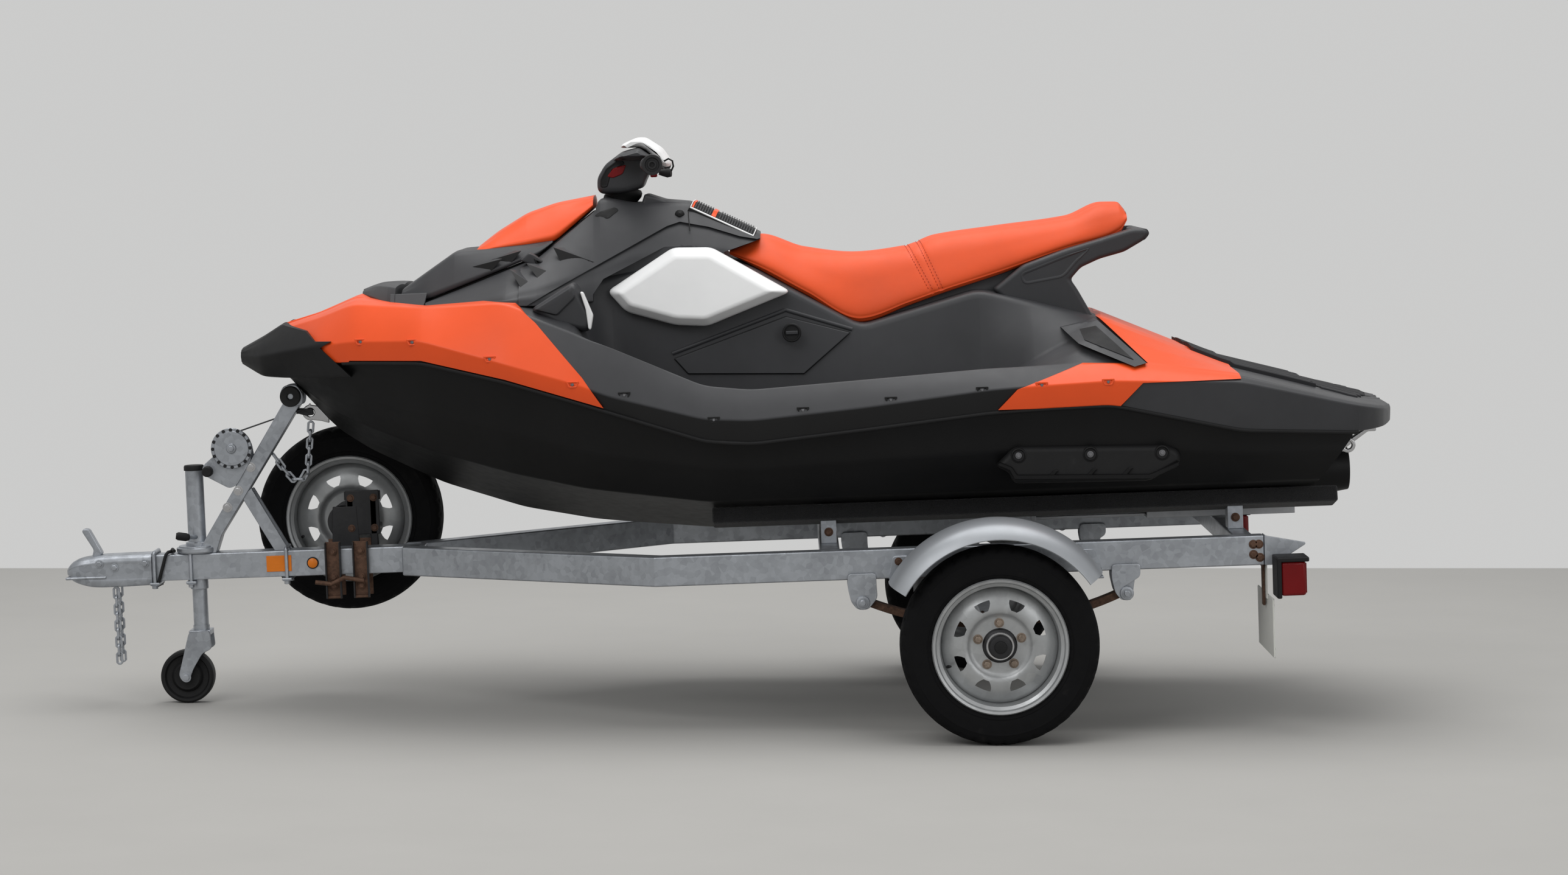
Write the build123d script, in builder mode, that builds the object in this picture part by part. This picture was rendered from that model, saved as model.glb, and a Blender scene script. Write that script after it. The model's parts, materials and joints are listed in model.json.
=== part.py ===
from build123d import *

import os
from collections import namedtuple
from math import atan2, cos, degrees, hypot, radians, sin

# A three-seat personal watercraft parked on its single-axle trailer.
# Everything is drawn level, in millimetres, with x = 0 over the axle (bow towards -x), y = 0 on the
# centre line and z = 0 on the floor. The craft and trailer then lean nose down about the axle, because
# the tongue rests on its jack, while the wheels and the jack's caster stay upright on the floor.

# Parking
AXLE_X = 711.915
PARK_TILT = 2.1

# Clearances
SKIN_GAP = 0.3
MOVING_GAP = 5.0
RUNNING_GAP = 0.05

# Road wheels
WHEEL_RADIUS = 250.0
TYRE_WIDTH = 124.0
RIM_RADIUS = 166.0
BEAD_RADIUS = 150.0
RIM_WIDTH = 104.0
RIM_WALL = 4.0
DISC_Y = 14.0
LUG_CIRCLE = 114.3
LUG_COUNT = 5
WINDOW_COUNT = 8
HUB_RADIUS = 62.0
HUB_BORE = 34.0
SPINDLE_RADIUS = 16.0

# Trailer frame
FRAME_TOP = 484.0
RAIL_HEIGHT = 76.0
RAIL_WIDTH = 51.0
RAIL_Y = 515.0
WHEEL_OUT = 175.0
TRACK_HALF = RAIL_Y + WHEEL_OUT
RAIL_WALL = 3.0
RAIL_REAR_X = 690.0
RAIL_BEND_X = -855.0
RAIL_FRONT_X = -1555.0
TONGUE_SIDE = 70.0
TONGUE_FRONT_X = -2300.0
CROSS_SIDE = 51.0
CROSS_X = (-415.0, 640.0)
FENDER_RADIUS = 322.0
FENDER_IN_Y = TRACK_HALF - 98.0
FENDER_OUT_Y = TRACK_HALF + 98.0
FENDER_SWEEP = 122.0
SPRING_HALF = 336.0
SPRING_EYE_Z = 354.0
SPRING_WIDTH = 45.0
SPRING_THICK = 20.0
AXLE_SIDE = 44.0

# Bunks
BUNK_Y = 320.0
BUNK_WIDTH = 92.0
BUNK_HEIGHT = 42.0
BUNK_X = (-715.0, 905.0)

# Jack
JACK_X = -2110.0
JACK_TOP_Z = 712.0
JACK_RADIUS = 24.0
JACK_LEG_RADIUS = 20.0
CASTER_RADIUS = 72.0
CASTER_WIDTH = 46.0
CASTER_TRAIL = 42.0

# Hull bottom under the bunks
KEEL_Z = 502.0
CHINE_B = 468.0
CHINE_Z = 615.0
FLAT = (KEEL_Z, CHINE_B, CHINE_Z)

# Table of offsets: half-breadths (b) and heights (z) of the boat's lines at each station.
# keel, chine, flare: hull; seam: where hull and deck meet; band: edge of the upright side band;
# rim: top of the gunwale; foot, step: the footwell floor's outer and inner edges; top: pedestal.
Offset = namedtuple(
    "Offset",
    "x keel_z chine_b chine_z flare_b flare_z seam_b seam_z band_b band_z "
    "rim_b rim_z foot_b foot_z step_b step_z top_b top_z",
)
OFFSETS = [
    Offset(*row)
    for row in (
        (-1840, 945, 45, 952, 100, 966, 150, 985, 160, 1020, 120, 1072, 90, 1078, 60, 1081, 30, 1083),
        (-1720, 806, 150, 872, 235, 930, 300, 996, 312, 1042, 235, 1105, 190, 1112, 130, 1116, 80, 1118),
        (-1630, 745, 215, 830, 305, 906, 370, 1001, 383, 1054, 300, 1138, 240, 1148, 170, 1152, 110, 1154),
        (-1440, 649, 325, 762, 410, 858, 476, 999, 490, 1055, 415, 1128, 340, 1132, 260, 1134, 200, 1136),
        (-1225, 575, 405, 702, 485, 808, 540, 947, 555, 992, 468, 1135, 400, 1142, 320, 1147, 240, 1150),
        (-1040, 537, 442, 660, 522, 757, 562, 888, 577, 934, 512, 1058, 430, 1090, 340, 1110, 240, 1180),
        (-960, 527, 450, 648, 528, 742, 567, 861, 582, 902, 520, 1028, 475, 876, 252, 876, 236, 1195),
        (-720, *FLAT, 538, 702, 575, 780, 590, 836, 536, 920, 482, 795, 250, 795, 226, 1236),
        (-600, *FLAT, 540, 695, 575, 770, 591, 829, 538, 906, 482, 786, 248, 786, 220, 1205),
        (-310, *FLAT, 542, 708, 578, 796, 592, 852, 536, 921, 480, 812, 246, 812, 205, 1040),
        (0, *FLAT, 545, 720, 580, 826, 593, 884, 530, 937, 472, 842, 262, 842, 222, 1122),
        (130, *FLAT, 545, 722, 580, 831, 592, 890, 520, 938, 470, 925, 350, 940, 240, 1090),
        (310, *FLAT, 544, 720, 577, 834, 588, 896, 515, 938, 440, 990, 345, 1030, 240, 1040),
        (640, *FLAT, 532, 690, 558, 757, 570, 880, 525, 890, 440, 892, 340, 894, 220, 896),
        (940, *FLAT, 500, 680, 515, 738, 528, 806, 480, 808, 400, 810, 300, 811.5, 200, 812),
        (1022, *FLAT, 420, 686, 425, 742, 436, 788, 388, 790, 312, 791.5, 212, 792.5, 112, 793),
        (1062, *FLAT, 250, 690, 255, 744, 266, 780, 220, 782, 170, 783.5, 110, 784.5, 60, 785),
    )
]
TRANSOM_TOP_X = 925.0
TRANSOM_LOW_X = 845.0

# Skin panels stand this far proud of the deck
PANEL_PROUD = 9.0
VENT_PROUD = 24.0
PAD_OUT_Y = 292.0

# Jet pump
PUMP_Z = 600.0
PUMP_RADIUS = 92.0
PUMP_BORE = 76.0
PUMP_X = (560.0, 768.0)
NOZZLE_PIVOT_X = 836.0
NOZZLE_END_X = 985.0
NOZZLE_LEAD = 26.0
SHAFT_RADIUS = 14.0
TUNNEL_HALF = 128.0
TUNNEL_TOP_Z = 705.0
TUNNEL_X = 420.0
INTAKE_X = 120.0

# Engine
ENGINE_X = (-700.0, -180.0)
ENGINE_HALF = 190.0
ENGINE_Z = (560.0, 880.0)
BAY_GAP = 14.0

# Steering
STEER_BASE = (-938.0, 1384.0)
STEER_LEAN = 21.0
GRIP_RADIUS = 17.0
BAR_RADIUS = 11.0
BAR_END_Y = 385.0
GRIP_LENGTH = 125.0
BAR_REACH = 86.0
BAR_RISE = 97.0
BAR_X = STEER_BASE[0] + BAR_REACH
BAR_Z = STEER_BASE[1] + BAR_RISE


# Helpers


def mirrored(half):
    """A closed outline from its +y half, listed from the bottom up."""
    return half + [(-y, z) for y, z in reversed(half) if y > 0]


def lofted(stations, outline):
    """A straight-lined loft through upright sections at each station's x."""
    with BuildPart() as body:
        for station in stations:
            with BuildSketch(Plane.YZ.offset(station[0])):
                with BuildLine():
                    Polyline(*outline(station), close=True)
                make_face()
        loft(ruled=True)
    return body.part


def side_prism(points, far, near=None):
    """A side-view outline carried across the boat, or from y = near to y = far on the port side only."""
    with BuildPart() as prism:
        with BuildSketch(Plane.XZ.offset(near or 0)):
            with BuildLine():
                Polyline(*points, close=True)
            make_face()
        if near is None:
            extrude(amount=far, both=True)
        else:
            extrude(amount=far - near)
    return prism.part


def shifted(points, x, z):
    """Side-view points moved to a spot."""
    return [(x + across, z + up) for across, up in points]


def slab(x, y, z):
    """A box from three (low, high) pairs."""
    with BuildPart() as box:
        with Locations(((x[0] + x[1]) / 2, (y[0] + y[1]) / 2, (z[0] + z[1]) / 2)):
            Box(x[1] - x[0], y[1] - y[0], z[1] - z[0])
    return box.part


def pair(part):
    """A port piece with its starboard twin."""
    with BuildPart() as both:
        add(part)
        mirror(about=Plane.XZ)
    return both.part


def cut(part, *tools):
    """The part less each tool."""
    with BuildPart() as rest:
        add(part)
        for tool in tools:
            add(tool, mode=Mode.SUBTRACT)
    return rest.part


def common(part, *tools):
    """What the part shares with each tool."""
    with BuildPart() as rest:
        add(part)
        for tool in tools:
            add(tool, mode=Mode.INTERSECT)
    return rest.part


def fused(*parts):
    """Several overlapping parts as one."""
    with BuildPart() as whole:
        for part in parts:
            add(part)
    return whole.part


def round_bar(start, end, radius, bore=0.0):
    """A round bar or tube between two points."""
    way = Vector(*end) - Vector(*start)
    with BuildPart() as bar:
        with BuildSketch(Plane(start, z_dir=way)):
            Circle(radius)
            if bore:
                Circle(bore, mode=Mode.SUBTRACT)
        extrude(amount=way.length)
    return bar.part


def cross_bar(spot, half, radius, bore=0.0):
    """A round bar or tube across the boat, about a side-view spot."""
    return round_bar((spot[0], -half, spot[1]), (spot[0], half, spot[1]), radius, bore)


def offset_at(x, column):
    """A line's value at any x, from the table of offsets."""
    for low, high in zip(OFFSETS, OFFSETS[1:]):
        if low.x <= x <= high.x:
            share = (x - low.x) / (high.x - low.x)
            return getattr(low, column) + share * (getattr(high, column) - getattr(low, column))
    raise ValueError(f"x = {x} is outside the boat")


# Hull


def hull_outline(grow):
    """Hull sections, grown outwards by a clearance."""

    def outline(o):
        return mirrored(
            [
                (0, o.keel_z - grow),
                (o.chine_b + grow, o.chine_z - grow),
                (o.flare_b + grow, o.flare_z),
                (o.seam_b + grow, o.seam_z),
            ]
        )

    return outline


def deck_outline(grow):
    """Deck sections, grown outwards by a clearance or a panel's depth."""

    def outline(o):
        return mirrored(
            [
                (o.seam_b + grow, o.seam_z),
                (o.band_b + grow, o.band_z),
                (o.rim_b, o.rim_z + grow),
                (o.foot_b, o.foot_z + grow),
                (o.step_b + grow, o.step_z + grow),
                (o.top_b + grow, o.top_z + grow),
            ]
        )

    return outline


hull_skin = lofted(OFFSETS, hull_outline(0))
hull_clear = lofted(OFFSETS, hull_outline(SKIN_GAP))
deck_skin = lofted(OFFSETS, deck_outline(0))
deck_clear = lofted(OFFSETS, deck_outline(SKIN_GAP))
deck_proud = lofted(OFFSETS, deck_outline(PANEL_PROUD))
deck_vent = lofted(OFFSETS, deck_outline(VENT_PROUD))
deck_moving = lofted(OFFSETS, deck_outline(MOVING_GAP))

engine_bay = slab(
    (ENGINE_X[0] - BAY_GAP, ENGINE_X[1] + BAY_GAP),
    (-ENGINE_HALF - BAY_GAP, ENGINE_HALF + BAY_GAP),
    (ENGINE_Z[0], ENGINE_Z[1] + BAY_GAP),
)
transom_cut = side_prism(
    [
        (TRANSOM_TOP_X, 900),
        (TRANSOM_TOP_X, CHINE_Z + 110),
        (TRANSOM_LOW_X, CHINE_Z),
        (TRANSOM_LOW_X - 15, 400),
        (1200, 400),
        (1200, 900),
    ],
    700,
)
tunnel = fused(
    slab((TUNNEL_X, 1100), (-TUNNEL_HALF, TUNNEL_HALF), (KEEL_Z - 50, TUNNEL_TOP_Z)),
    side_prism(
        [
            (INTAKE_X, KEEL_Z - 50),
            (INTAKE_X, KEEL_Z + 40),
            (TUNNEL_X + 5, TUNNEL_TOP_Z),
            (TUNNEL_X + 5, KEEL_Z - 50),
        ],
        TUNNEL_HALF - 30,
    ),
)
shaft_bore = round_bar((INTAKE_X - 200, 0, PUMP_Z), (TUNNEL_X + 20, 0, PUMP_Z), SHAFT_RADIUS + RUNNING_GAP)
STEP_PIVOT = (886.0, 630.0)
STEP_PIN = 8.0
step_ear = side_prism([(830, 650), (890, 646), (902, 630), (890, 614), (830, 606)], 172, 152)
hull = fused(cut(hull_skin, engine_bay, transom_cut, tunnel, shaft_bore), pair(step_ear))
step_bore = cross_bar(STEP_PIVOT, 300, STEP_PIN + RUNNING_GAP)
hull = cut(hull, step_bore)
engine_block = slab(ENGINE_X, (-ENGINE_HALF, ENGINE_HALF), ENGINE_Z)

# Deck, platform and skin panels
PLATFORM_LINE = [(330, 826), (389, 886), (640, 886)]
platform_prism = side_prism([(330, 700), *PLATFORM_LINE, (640, 1100), (1200, 1100), (1200, 700)], 700)
BIN_X = (-1400.0, -1190.0)
BIN_HALF = 140.0
BIN_FLOOR = 1030.0
storage_bin = slab(BIN_X, (-BIN_HALF, BIN_HALF), (BIN_FLOOR, 1500))
deck = cut(deck_skin, platform_prism, engine_bay, storage_bin)
stern_platform = common(deck_skin, platform_prism)

BUMPER_REAR = [(-1836, 1096), (-1759, 1080), (-1730, 1054), (-1684, 1055), (-1715, 1038), (-1653, 980)]
bow_panel_prism = side_prism(
    [
        *BUMPER_REAR,
        (-1635, 1005),
        (-1440, 1004),
        (-1225, 952),
        (-1040, 893),
        (-975, 872),
        (-1026, 950),
        (-1143, 1090),
        (-1198, 1140),
        (-1283, 1147),
        (-1440, 1137),
        (-1600, 1156),
        (-1632, 1166),
        (-1753, 1118),
    ],
    700,
)
lid_room = slab((-1606, -900), (-290, 290), (1100, 1300))
bow_panel = cut(common(deck_proud, bow_panel_prism), deck_clear, lid_room)

STERN_TOP = [(410, 932), (306, 1042), (330, 1050), (530, 962), (640, 910), (640, 887), (389, 887)]
stern_panel_prism = side_prism([(22, 832), (72, 882), (244, 939), *STERN_TOP, (331, 830)], 700, 250)
vent_prism = side_prism([(205, 1022), (296, 1040), (404, 934), (372, 927), (240, 985)], 700, 250)
stern_panels = pair(cut(common(deck_proud, stern_panel_prism), deck_clear, vent_prism))
stern_vents = pair(cut(common(deck_vent, vent_prism), deck_clear))

# Bow bumper
Bumper = namedtuple("Bumper", "x low_b low_z mid_b mid_z top_b top_z")
BUMPER = [
    Bumper(-1954, 80, 990, 110, 1012, 90, 1030),
    Bumper(-1890, 165, 960, 210, 1015, 150, 1062),
    Bumper(-1833, 190, 956, 262, 1025, 170, 1096),
    Bumper(-1720, 300, 958, 332, 1045, 230, 1128),
    Bumper(-1625, 370, 960, 404, 1060, 300, 1165),
]


def three_point(o):
    """A section with a low, a middle and a top corner on each side."""
    return mirrored([(o.low_b, o.low_z), (o.mid_b, o.mid_z), (o.top_b, o.top_z)])


bumper_prism = side_prism(
    [(-1990, 940), (-1990, 1130), (-1860, 1130), *BUMPER_REAR, (-1635, 962), (-1660, 940)],
    700,
)
bow_bumper = cut(common(lofted(BUMPER, three_point), bumper_prism), deck_clear, hull_clear)

# Storage lid, orange hood on it, and the fixed console behind
Cover = namedtuple("Cover", "x low_b low_z mid_b mid_z top_b top_z")
LID = [
    Cover(-1510, 205, 1156, 215, 1160, 185, 1176),
    Cover(-1440, 238, 1150, 240, 1165, 200, 1222),
    Cover(-1367, 246, 1176, 248, 1190, 190, 1270),
    Cover(-1300, 244, 1200, 246, 1212, 184, 1273),
    Cover(-1146, 222, 1256, 224, 1264, 176, 1288),
    Cover(-1110, 205, 1285, 207, 1287, 176, 1291),
]
HOOD = [
    Cover(-1312, 150, 1264, 165, 1268, 120, 1277),
    Cover(-1262, 160, 1266, 172, 1279, 105, 1314),
    Cover(-1182, 168, 1272, 178, 1290, 92, 1360),
    Cover(-1105, 165, 1288, 172, 1304, 88, 1384),
    Cover(-1004, 120, 1372, 128, 1380, 80, 1400),
]
CONSOLE = [
    Cover(-1442, 335, 1122, 300, 1136, 246, 1144),
    Cover(-1225, 425, 1132, 400, 1160, 246, 1221),
    Cover(-1146, 408, 1128, 375, 1172, 230, 1250),
    Cover(-1000, 300, 1130, 262, 1210, 135, 1368),
    Cover(-985, 292, 1132, 258, 1213, 134, 1392),
    Cover(-900, 250, 1180, 240, 1245, 130, 1374),
    Cover(-742, 236, 1200, 228, 1262, 128, 1370),
    Cover(-566, 190, 1205, 186, 1240, 130, 1282),
]
LID_PIVOT = (-1498.0, 1163.0)
LID_PIN = 6.0
lid_ears = []
lid_notches = []
for y in (-100, 100):
    ear_spot = Location((0, y, 0))
    lid_ears.append(slab((-1530, LID_PIVOT[0] + 9), (y - 6, y + 6), (LID_PIVOT[1] - 8, LID_PIVOT[1] + 8)))
    lid_ears.append(cross_bar(LID_PIVOT, 20, LID_PIN).moved(ear_spot))
    lid_notches.append(slab((-1530, LID_PIVOT[0] + 17), (y - 11, y + 11), (1100, 1250)))
    lid_notches.append(cross_bar(LID_PIVOT, 22, LID_PIN + RUNNING_GAP).moved(ear_spot))
storage_lid = cut(lofted(LID, three_point), deck_moving, *lid_notches)
hood_panel = cut(lofted(HOOD, three_point), storage_lid)
hood_sink = side_prism(
    [(-1330, 1230), (-1330, 1272), (-1112, 1289), (-1112, 1292), (-1000, 1371), (-990, 1230)],
    400,
)
hood_panel = cut(hood_panel, hood_sink)
seat_front_cut = side_prism([(-668, 1100), (-668, 1243), (-566, 1274), (-500, 1274), (-500, 1100)], 400)
lid_swing = side_prism(
    [(-1460, 1130), (-1440, 1144), (-1146, 1249), (-996, 1366), (-996, 1500), (-1460, 1500)],
    400,
)
steer_way = (sin(radians(STEER_LEAN)), 0, cos(radians(STEER_LEAN)))
steer_seat = Plane((STEER_BASE[0], 0, STEER_BASE[1]), z_dir=steer_way)
COLUMN_RADIUS = 22.0
COLUMN_DEPTH = 60.0
with BuildPart() as column_bore:
    with BuildSketch(steer_seat.offset(-COLUMN_DEPTH)):
        Circle(COLUMN_RADIUS + RUNNING_GAP)
    extrude(amount=COLUMN_DEPTH * 3)
console = cut(
    lofted(CONSOLE, three_point),
    deck_clear,
    seat_front_cut,
    lid_swing,
    storage_bin,
    column_bore.part,
    bow_panel_prism,
)
hinge_cover = cut(
    lofted(
        [
            Cover(-1600, 150, 1146, 165, 1158, 140, 1166),
            Cover(-1563, 175, 1140, 190, 1160, 150, 1182),
            Cover(-1530, 190, 1138, 205, 1152, 160, 1179),
            Cover(-1522, 190, 1140, 205, 1152, 160, 1174),
        ],
        three_point,
    ),
    deck_clear,
    bow_panel,
)
hinge_cover = fused(hinge_cover, *lid_ears)

# Knee pads, access panels, deflectors, sponsons: port outlines with their twins
PAD = [(-969, 1155), (-795, 1262), (-694, 1259), (-491, 1136), (-712, 1055), (-794, 1061), (-922, 1100)]
knee_pads = pair(cut(side_prism(PAD, PAD_OUT_Y, 150), deck_clear, console))
deflector_prism = side_prism(
    [(-1160, 1122), (-1044, 1191), (-1000, 1099), (-1010, 1057), (-1096, 1080)],
    455,
    350,
)
deflectors = pair(cut(deflector_prism, deck_clear, console, bow_panel))
sponson_prism = side_prism(
    [(12, 686), (61, 735), (444, 725), (480, 709), (483, 679), (404, 635), (58, 640), (45, 670)],
    562,
    440,
)
sponsons = pair(cut(sponson_prism, hull_clear))

# Seat and its support
SEAT = [
    Cover(-648, 120, 1236, 135, 1242, 100, 1250),
    Cover(-566, 150, 1190, 172, 1215, 105, 1281),
    Cover(-450, 165, 1122, 185, 1150, 110, 1243),
    Cover(-310, 170, 1046, 188, 1075, 120, 1224),
    Cover(-180, 172, 1086, 190, 1110, 125, 1236),
    Cover(-100, 172, 1112, 190, 1135, 125, 1262),
    Cover(60, 160, 1158, 182, 1180, 125, 1280),
    Cover(250, 140, 1218, 165, 1235, 115, 1300),
    Cover(345, 120, 1240, 145, 1255, 100, 1333),
    Cover(385, 110, 1255, 130, 1275, 90, 1332),
    Cover(404, 105, 1285, 115, 1295, 85, 1312),
]
seat_skin = lofted(SEAT, three_point)
seat = cut(seat_skin, deck_clear, console)
support_prism = side_prism(
    [
        (30, 1100),
        (60, 1158),
        (250, 1218),
        (345, 1236),
        (335, 1200),
        (293, 1166),
        (261, 1117),
        (318, 1030),
        (150, 1040),
    ],
    105,
)
arm_prism = side_prism(
    [(90, 1120), (211, 1214), (447, 1268), (456, 1250), (415, 1226), (240, 1170)],
    204,
    172,
)
rear_bar = side_prism([(420, 1262), (447, 1268), (456, 1250), (428, 1234)], 204)
arm_root = side_prism(
    [(90, 1100), (150, 1150), (230, 1180), (262, 1166), (230, 1100), (160, 1080)],
    204,
    90,
)
seat_support = cut(fused(support_prism, pair(arm_prism), rear_bar, pair(arm_root)), deck_clear, seat_skin)

# Traction mats
MAT_THICK = 6.0
Mat = namedtuple("Mat", "x in_b out_b z")
foot_mat = [Mat(x, 268, 462, offset_at(x, "foot_z")) for x in (-930, -720, -600, -310, -20)]


def mat_outline(o):
    """A mat lying on a level floor."""
    return [(-o.in_b, o.z), (-o.out_b, o.z), (-o.out_b, o.z + MAT_THICK), (-o.in_b, o.z + MAT_THICK)]


foot_mats = pair(lofted(foot_mat, mat_outline))
stern_mat = lofted(
    [Mat(x, -b, b, offset_at(x, "top_z")) for x, b in ((470, 190), (640, 190), (940, 190), (1040, 120))],
    mat_outline,
)
stern_mat = cut(stern_mat, deck_clear)

# Jet pump, steering nozzle, ride plate and intake grate
with BuildPart() as pump:
    with BuildSketch(Plane.YZ.offset(PUMP_X[0])):
        with Locations((0, PUMP_Z)):
            Circle(PUMP_RADIUS)
            Circle(PUMP_BORE, mode=Mode.SUBTRACT)
    extrude(amount=PUMP_X[1] - PUMP_X[0])
    with Locations((PUMP_X[0] + 20, 0, (PUMP_Z + PUMP_RADIUS + TUNNEL_TOP_Z) / 2 - 10)):
        Box(40, 120, TUNNEL_TOP_Z - PUMP_Z - PUMP_RADIUS + 20 - 2 * SKIN_GAP)
    add(round_bar((PUMP_X[0], 0, PUMP_Z), (PUMP_X[1], 0, PUMP_Z), PUMP_BORE), mode=Mode.SUBTRACT)
STATOR_X = PUMP_X[0] + 130
stator = slab((STATOR_X, PUMP_X[1] - 5), (-3, 3), (PUMP_Z - PUMP_BORE - 5, PUMP_Z + PUMP_BORE + 5))
stators = [stator.rotate(Axis((0, 0, PUMP_Z), (1, 0, 0)), turn) for turn in (0, 60, 120)]
cone = round_bar((STATOR_X, 0, PUMP_Z), (PUMP_X[1] + 5, 0, PUMP_Z), 30)
PIVOT_PIN = 8.0
EAR_Z = PUMP_RADIUS - 4
pivot_ears = []
for side in (-1, 1):
    low, high = sorted((PUMP_Z + side * EAR_Z, PUMP_Z + side * (EAR_Z + 7)))
    pivot_ears.append(slab((PUMP_X[1] - 20, NOZZLE_PIVOT_X + 16), (-18, 18), (low, high)))
    pin_foot = (NOZZLE_PIVOT_X, 0, PUMP_Z + side * (EAR_Z + 3))
    pin_end = (NOZZLE_PIVOT_X, 0, PUMP_Z + side * (EAR_Z - 16))
    pivot_ears.append(round_bar(pin_foot, pin_end, PIVOT_PIN))
jet_pump = fused(pump.part, *stators, cone, *pivot_ears)

BLADE_X = (PUMP_X[0] + 50, STATOR_X - 22)
blade = slab(BLADE_X, (-4, 4), (PUMP_Z, PUMP_Z + PUMP_BORE - 6))
blade = blade.rotate(Axis((sum(BLADE_X) / 2, 0, PUMP_Z), (0, 0, 1)), 38)
blades = [blade.rotate(Axis((0, 0, PUMP_Z), (1, 0, 0)), turn) for turn in (0, 120, 240)]
impeller = fused(
    round_bar((PUMP_X[0] + 20, 0, PUMP_Z), (STATOR_X - 6, 0, PUMP_Z), 28),
    round_bar((INTAKE_X - 100, 0, PUMP_Z), (PUMP_X[0] + 30, 0, PUMP_Z), SHAFT_RADIUS),
    *blades,
)

with BuildPart() as nozzle:
    with BuildSketch(Plane.YZ.offset(NOZZLE_PIVOT_X - NOZZLE_LEAD)):
        with Locations((0, PUMP_Z)):
            Circle(PUMP_RADIUS - 8)
    with BuildSketch(Plane.YZ.offset(NOZZLE_END_X)):
        with Locations((0, PUMP_Z)):
            Circle(58)
    loft()
    with BuildSketch(Plane.YZ.offset(NOZZLE_PIVOT_X - NOZZLE_LEAD)):
        with Locations((0, PUMP_Z)):
            Circle(PUMP_RADIUS - 16)
    with BuildSketch(Plane.YZ.offset(NOZZLE_END_X)):
        with Locations((0, PUMP_Z)):
            Circle(50)
    loft(mode=Mode.SUBTRACT)
bosses = []
for side in (-1, 1):
    boss_low = (NOZZLE_PIVOT_X, 0, PUMP_Z + side * (EAR_Z - 24))
    boss_top = (NOZZLE_PIVOT_X, 0, PUMP_Z + side * (EAR_Z - 4))
    bosses.append(round_bar(boss_low, boss_top, 15))
pivot_bore = round_bar(
    (NOZZLE_PIVOT_X, 0, PUMP_Z - 120),
    (NOZZLE_PIVOT_X, 0, PUMP_Z + 120),
    PIVOT_PIN + RUNNING_GAP,
)
steering_nozzle = cut(fused(nozzle.part, *bosses), pivot_bore)
PLATE_Z = KEEL_Z - 6
PLATE_X = (TUNNEL_X + 12, TRANSOM_LOW_X - 20)
PLATE_LEVEL = (PLATE_Z, PLATE_Z + 8)
ride_plate = slab(PLATE_X, (-TUNNEL_HALF + 2, TUNNEL_HALF - 2), PLATE_LEVEL)
grate_bars = [slab((INTAKE_X + 8, TUNNEL_X + 13), (y - 5, y + 5), PLATE_LEVEL) for y in (-60, -20, 20, 60)]
tie_half = TUNNEL_HALF - 30
grate_tie = slab((INTAKE_X + 8, INTAKE_X + 20), (-tie_half, tie_half), (PLATE_Z, PLATE_Z + 44))
plate_flange = slab(PLATE_X, (-TUNNEL_HALF, -TUNNEL_HALF + 7), (PLATE_Z, PLATE_Z + 56))
ride_plate = fused(ride_plate, grate_tie, pair(plate_flange), *grate_bars)

# Folding boarding step
with BuildPart() as step:
    with BuildSketch(Plane.XZ.offset(180)):
        with BuildLine():
            Polyline(
                (STEP_PIVOT[0] - 8, STEP_PIVOT[1] - 12),
                (1030, 724),
                (1048, 734),
                (1034, 734),
                (1012, 724),
                (STEP_PIVOT[0] - 14, STEP_PIVOT[1] + 6),
                close=True,
            )
        make_face()
    extrude(amount=24)
    mirror(about=Plane.XZ)
step_pin = round_bar((STEP_PIVOT[0], -200, STEP_PIVOT[1]), (STEP_PIVOT[0], -150, STEP_PIVOT[1]), STEP_PIN)
boarding_step = fused(step.part, slab((1012, 1034), (-204, 204), (712, 730)), pair(step_pin))

# Steering: pod, pad, bar with grips
POD_TOP = [(-138, -31), (-108, 13), (-74, 37), (-24, 49), (10, 19), (-10, -36)]
POD_WING = [(-98, 15), (-74, 35), (-24, 47), (14, 19), (-18, 13)]
PAD_ON_BAR = [(-73, 33), (-48, 71), (-11, 73), (29, 45), (49, 22), (52, -3), (36, 2), (10, 16), (-24, 45)]
pod_foot = shifted([(44, 8), (-48, 40)], *STEER_BASE)
pod_core = side_prism([*pod_foot, *shifted(POD_TOP, BAR_X, BAR_Z)], 72)
pod_wing = side_prism(shifted(POD_WING, BAR_X, BAR_Z), 190)
pad_prism = side_prism(shifted(PAD_ON_BAR, BAR_X, BAR_Z), 130)
with BuildPart() as column:
    with BuildSketch(steer_seat.offset(-COLUMN_DEPTH + 5)):
        Circle(COLUMN_RADIUS)
    extrude(amount=COLUMN_DEPTH + 40)
bar = cross_bar((BAR_X, BAR_Z), BAR_END_Y, BAR_RADIUS)
grip = round_bar((BAR_X, -BAR_END_Y, BAR_Z), (BAR_X, -BAR_END_Y + GRIP_LENGTH, BAR_Z), GRIP_RADIUS)
handlebar_pad = cut(pad_prism, bar)
steering_pod = cut(fused(pod_core, pod_wing, column.part), handlebar_pad, bar)
handlebar = fused(bar, pair(grip))

# Trailer frame


def rail_plan(inset):
    """The port rail's plan outline, drawn in by a wall thickness."""
    half = RAIL_WIDTH / 2 - inset
    slant = atan2(RAIL_Y - TONGUE_SIDE / 2, RAIL_BEND_X - RAIL_FRONT_X)
    shift = half * (1 - cos(slant)) / sin(slant)
    front = half / cos(slant)
    return [
        (RAIL_FRONT_X + inset, -TONGUE_SIDE / 2 - front),
        (RAIL_BEND_X - shift, -RAIL_Y - half),
        (RAIL_REAR_X - inset, -RAIL_Y - half),
        (RAIL_REAR_X - inset, -RAIL_Y + half),
        (RAIL_BEND_X + shift, -RAIL_Y + half),
        (RAIL_FRONT_X + inset, -TONGUE_SIDE / 2 + front),
    ]


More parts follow.
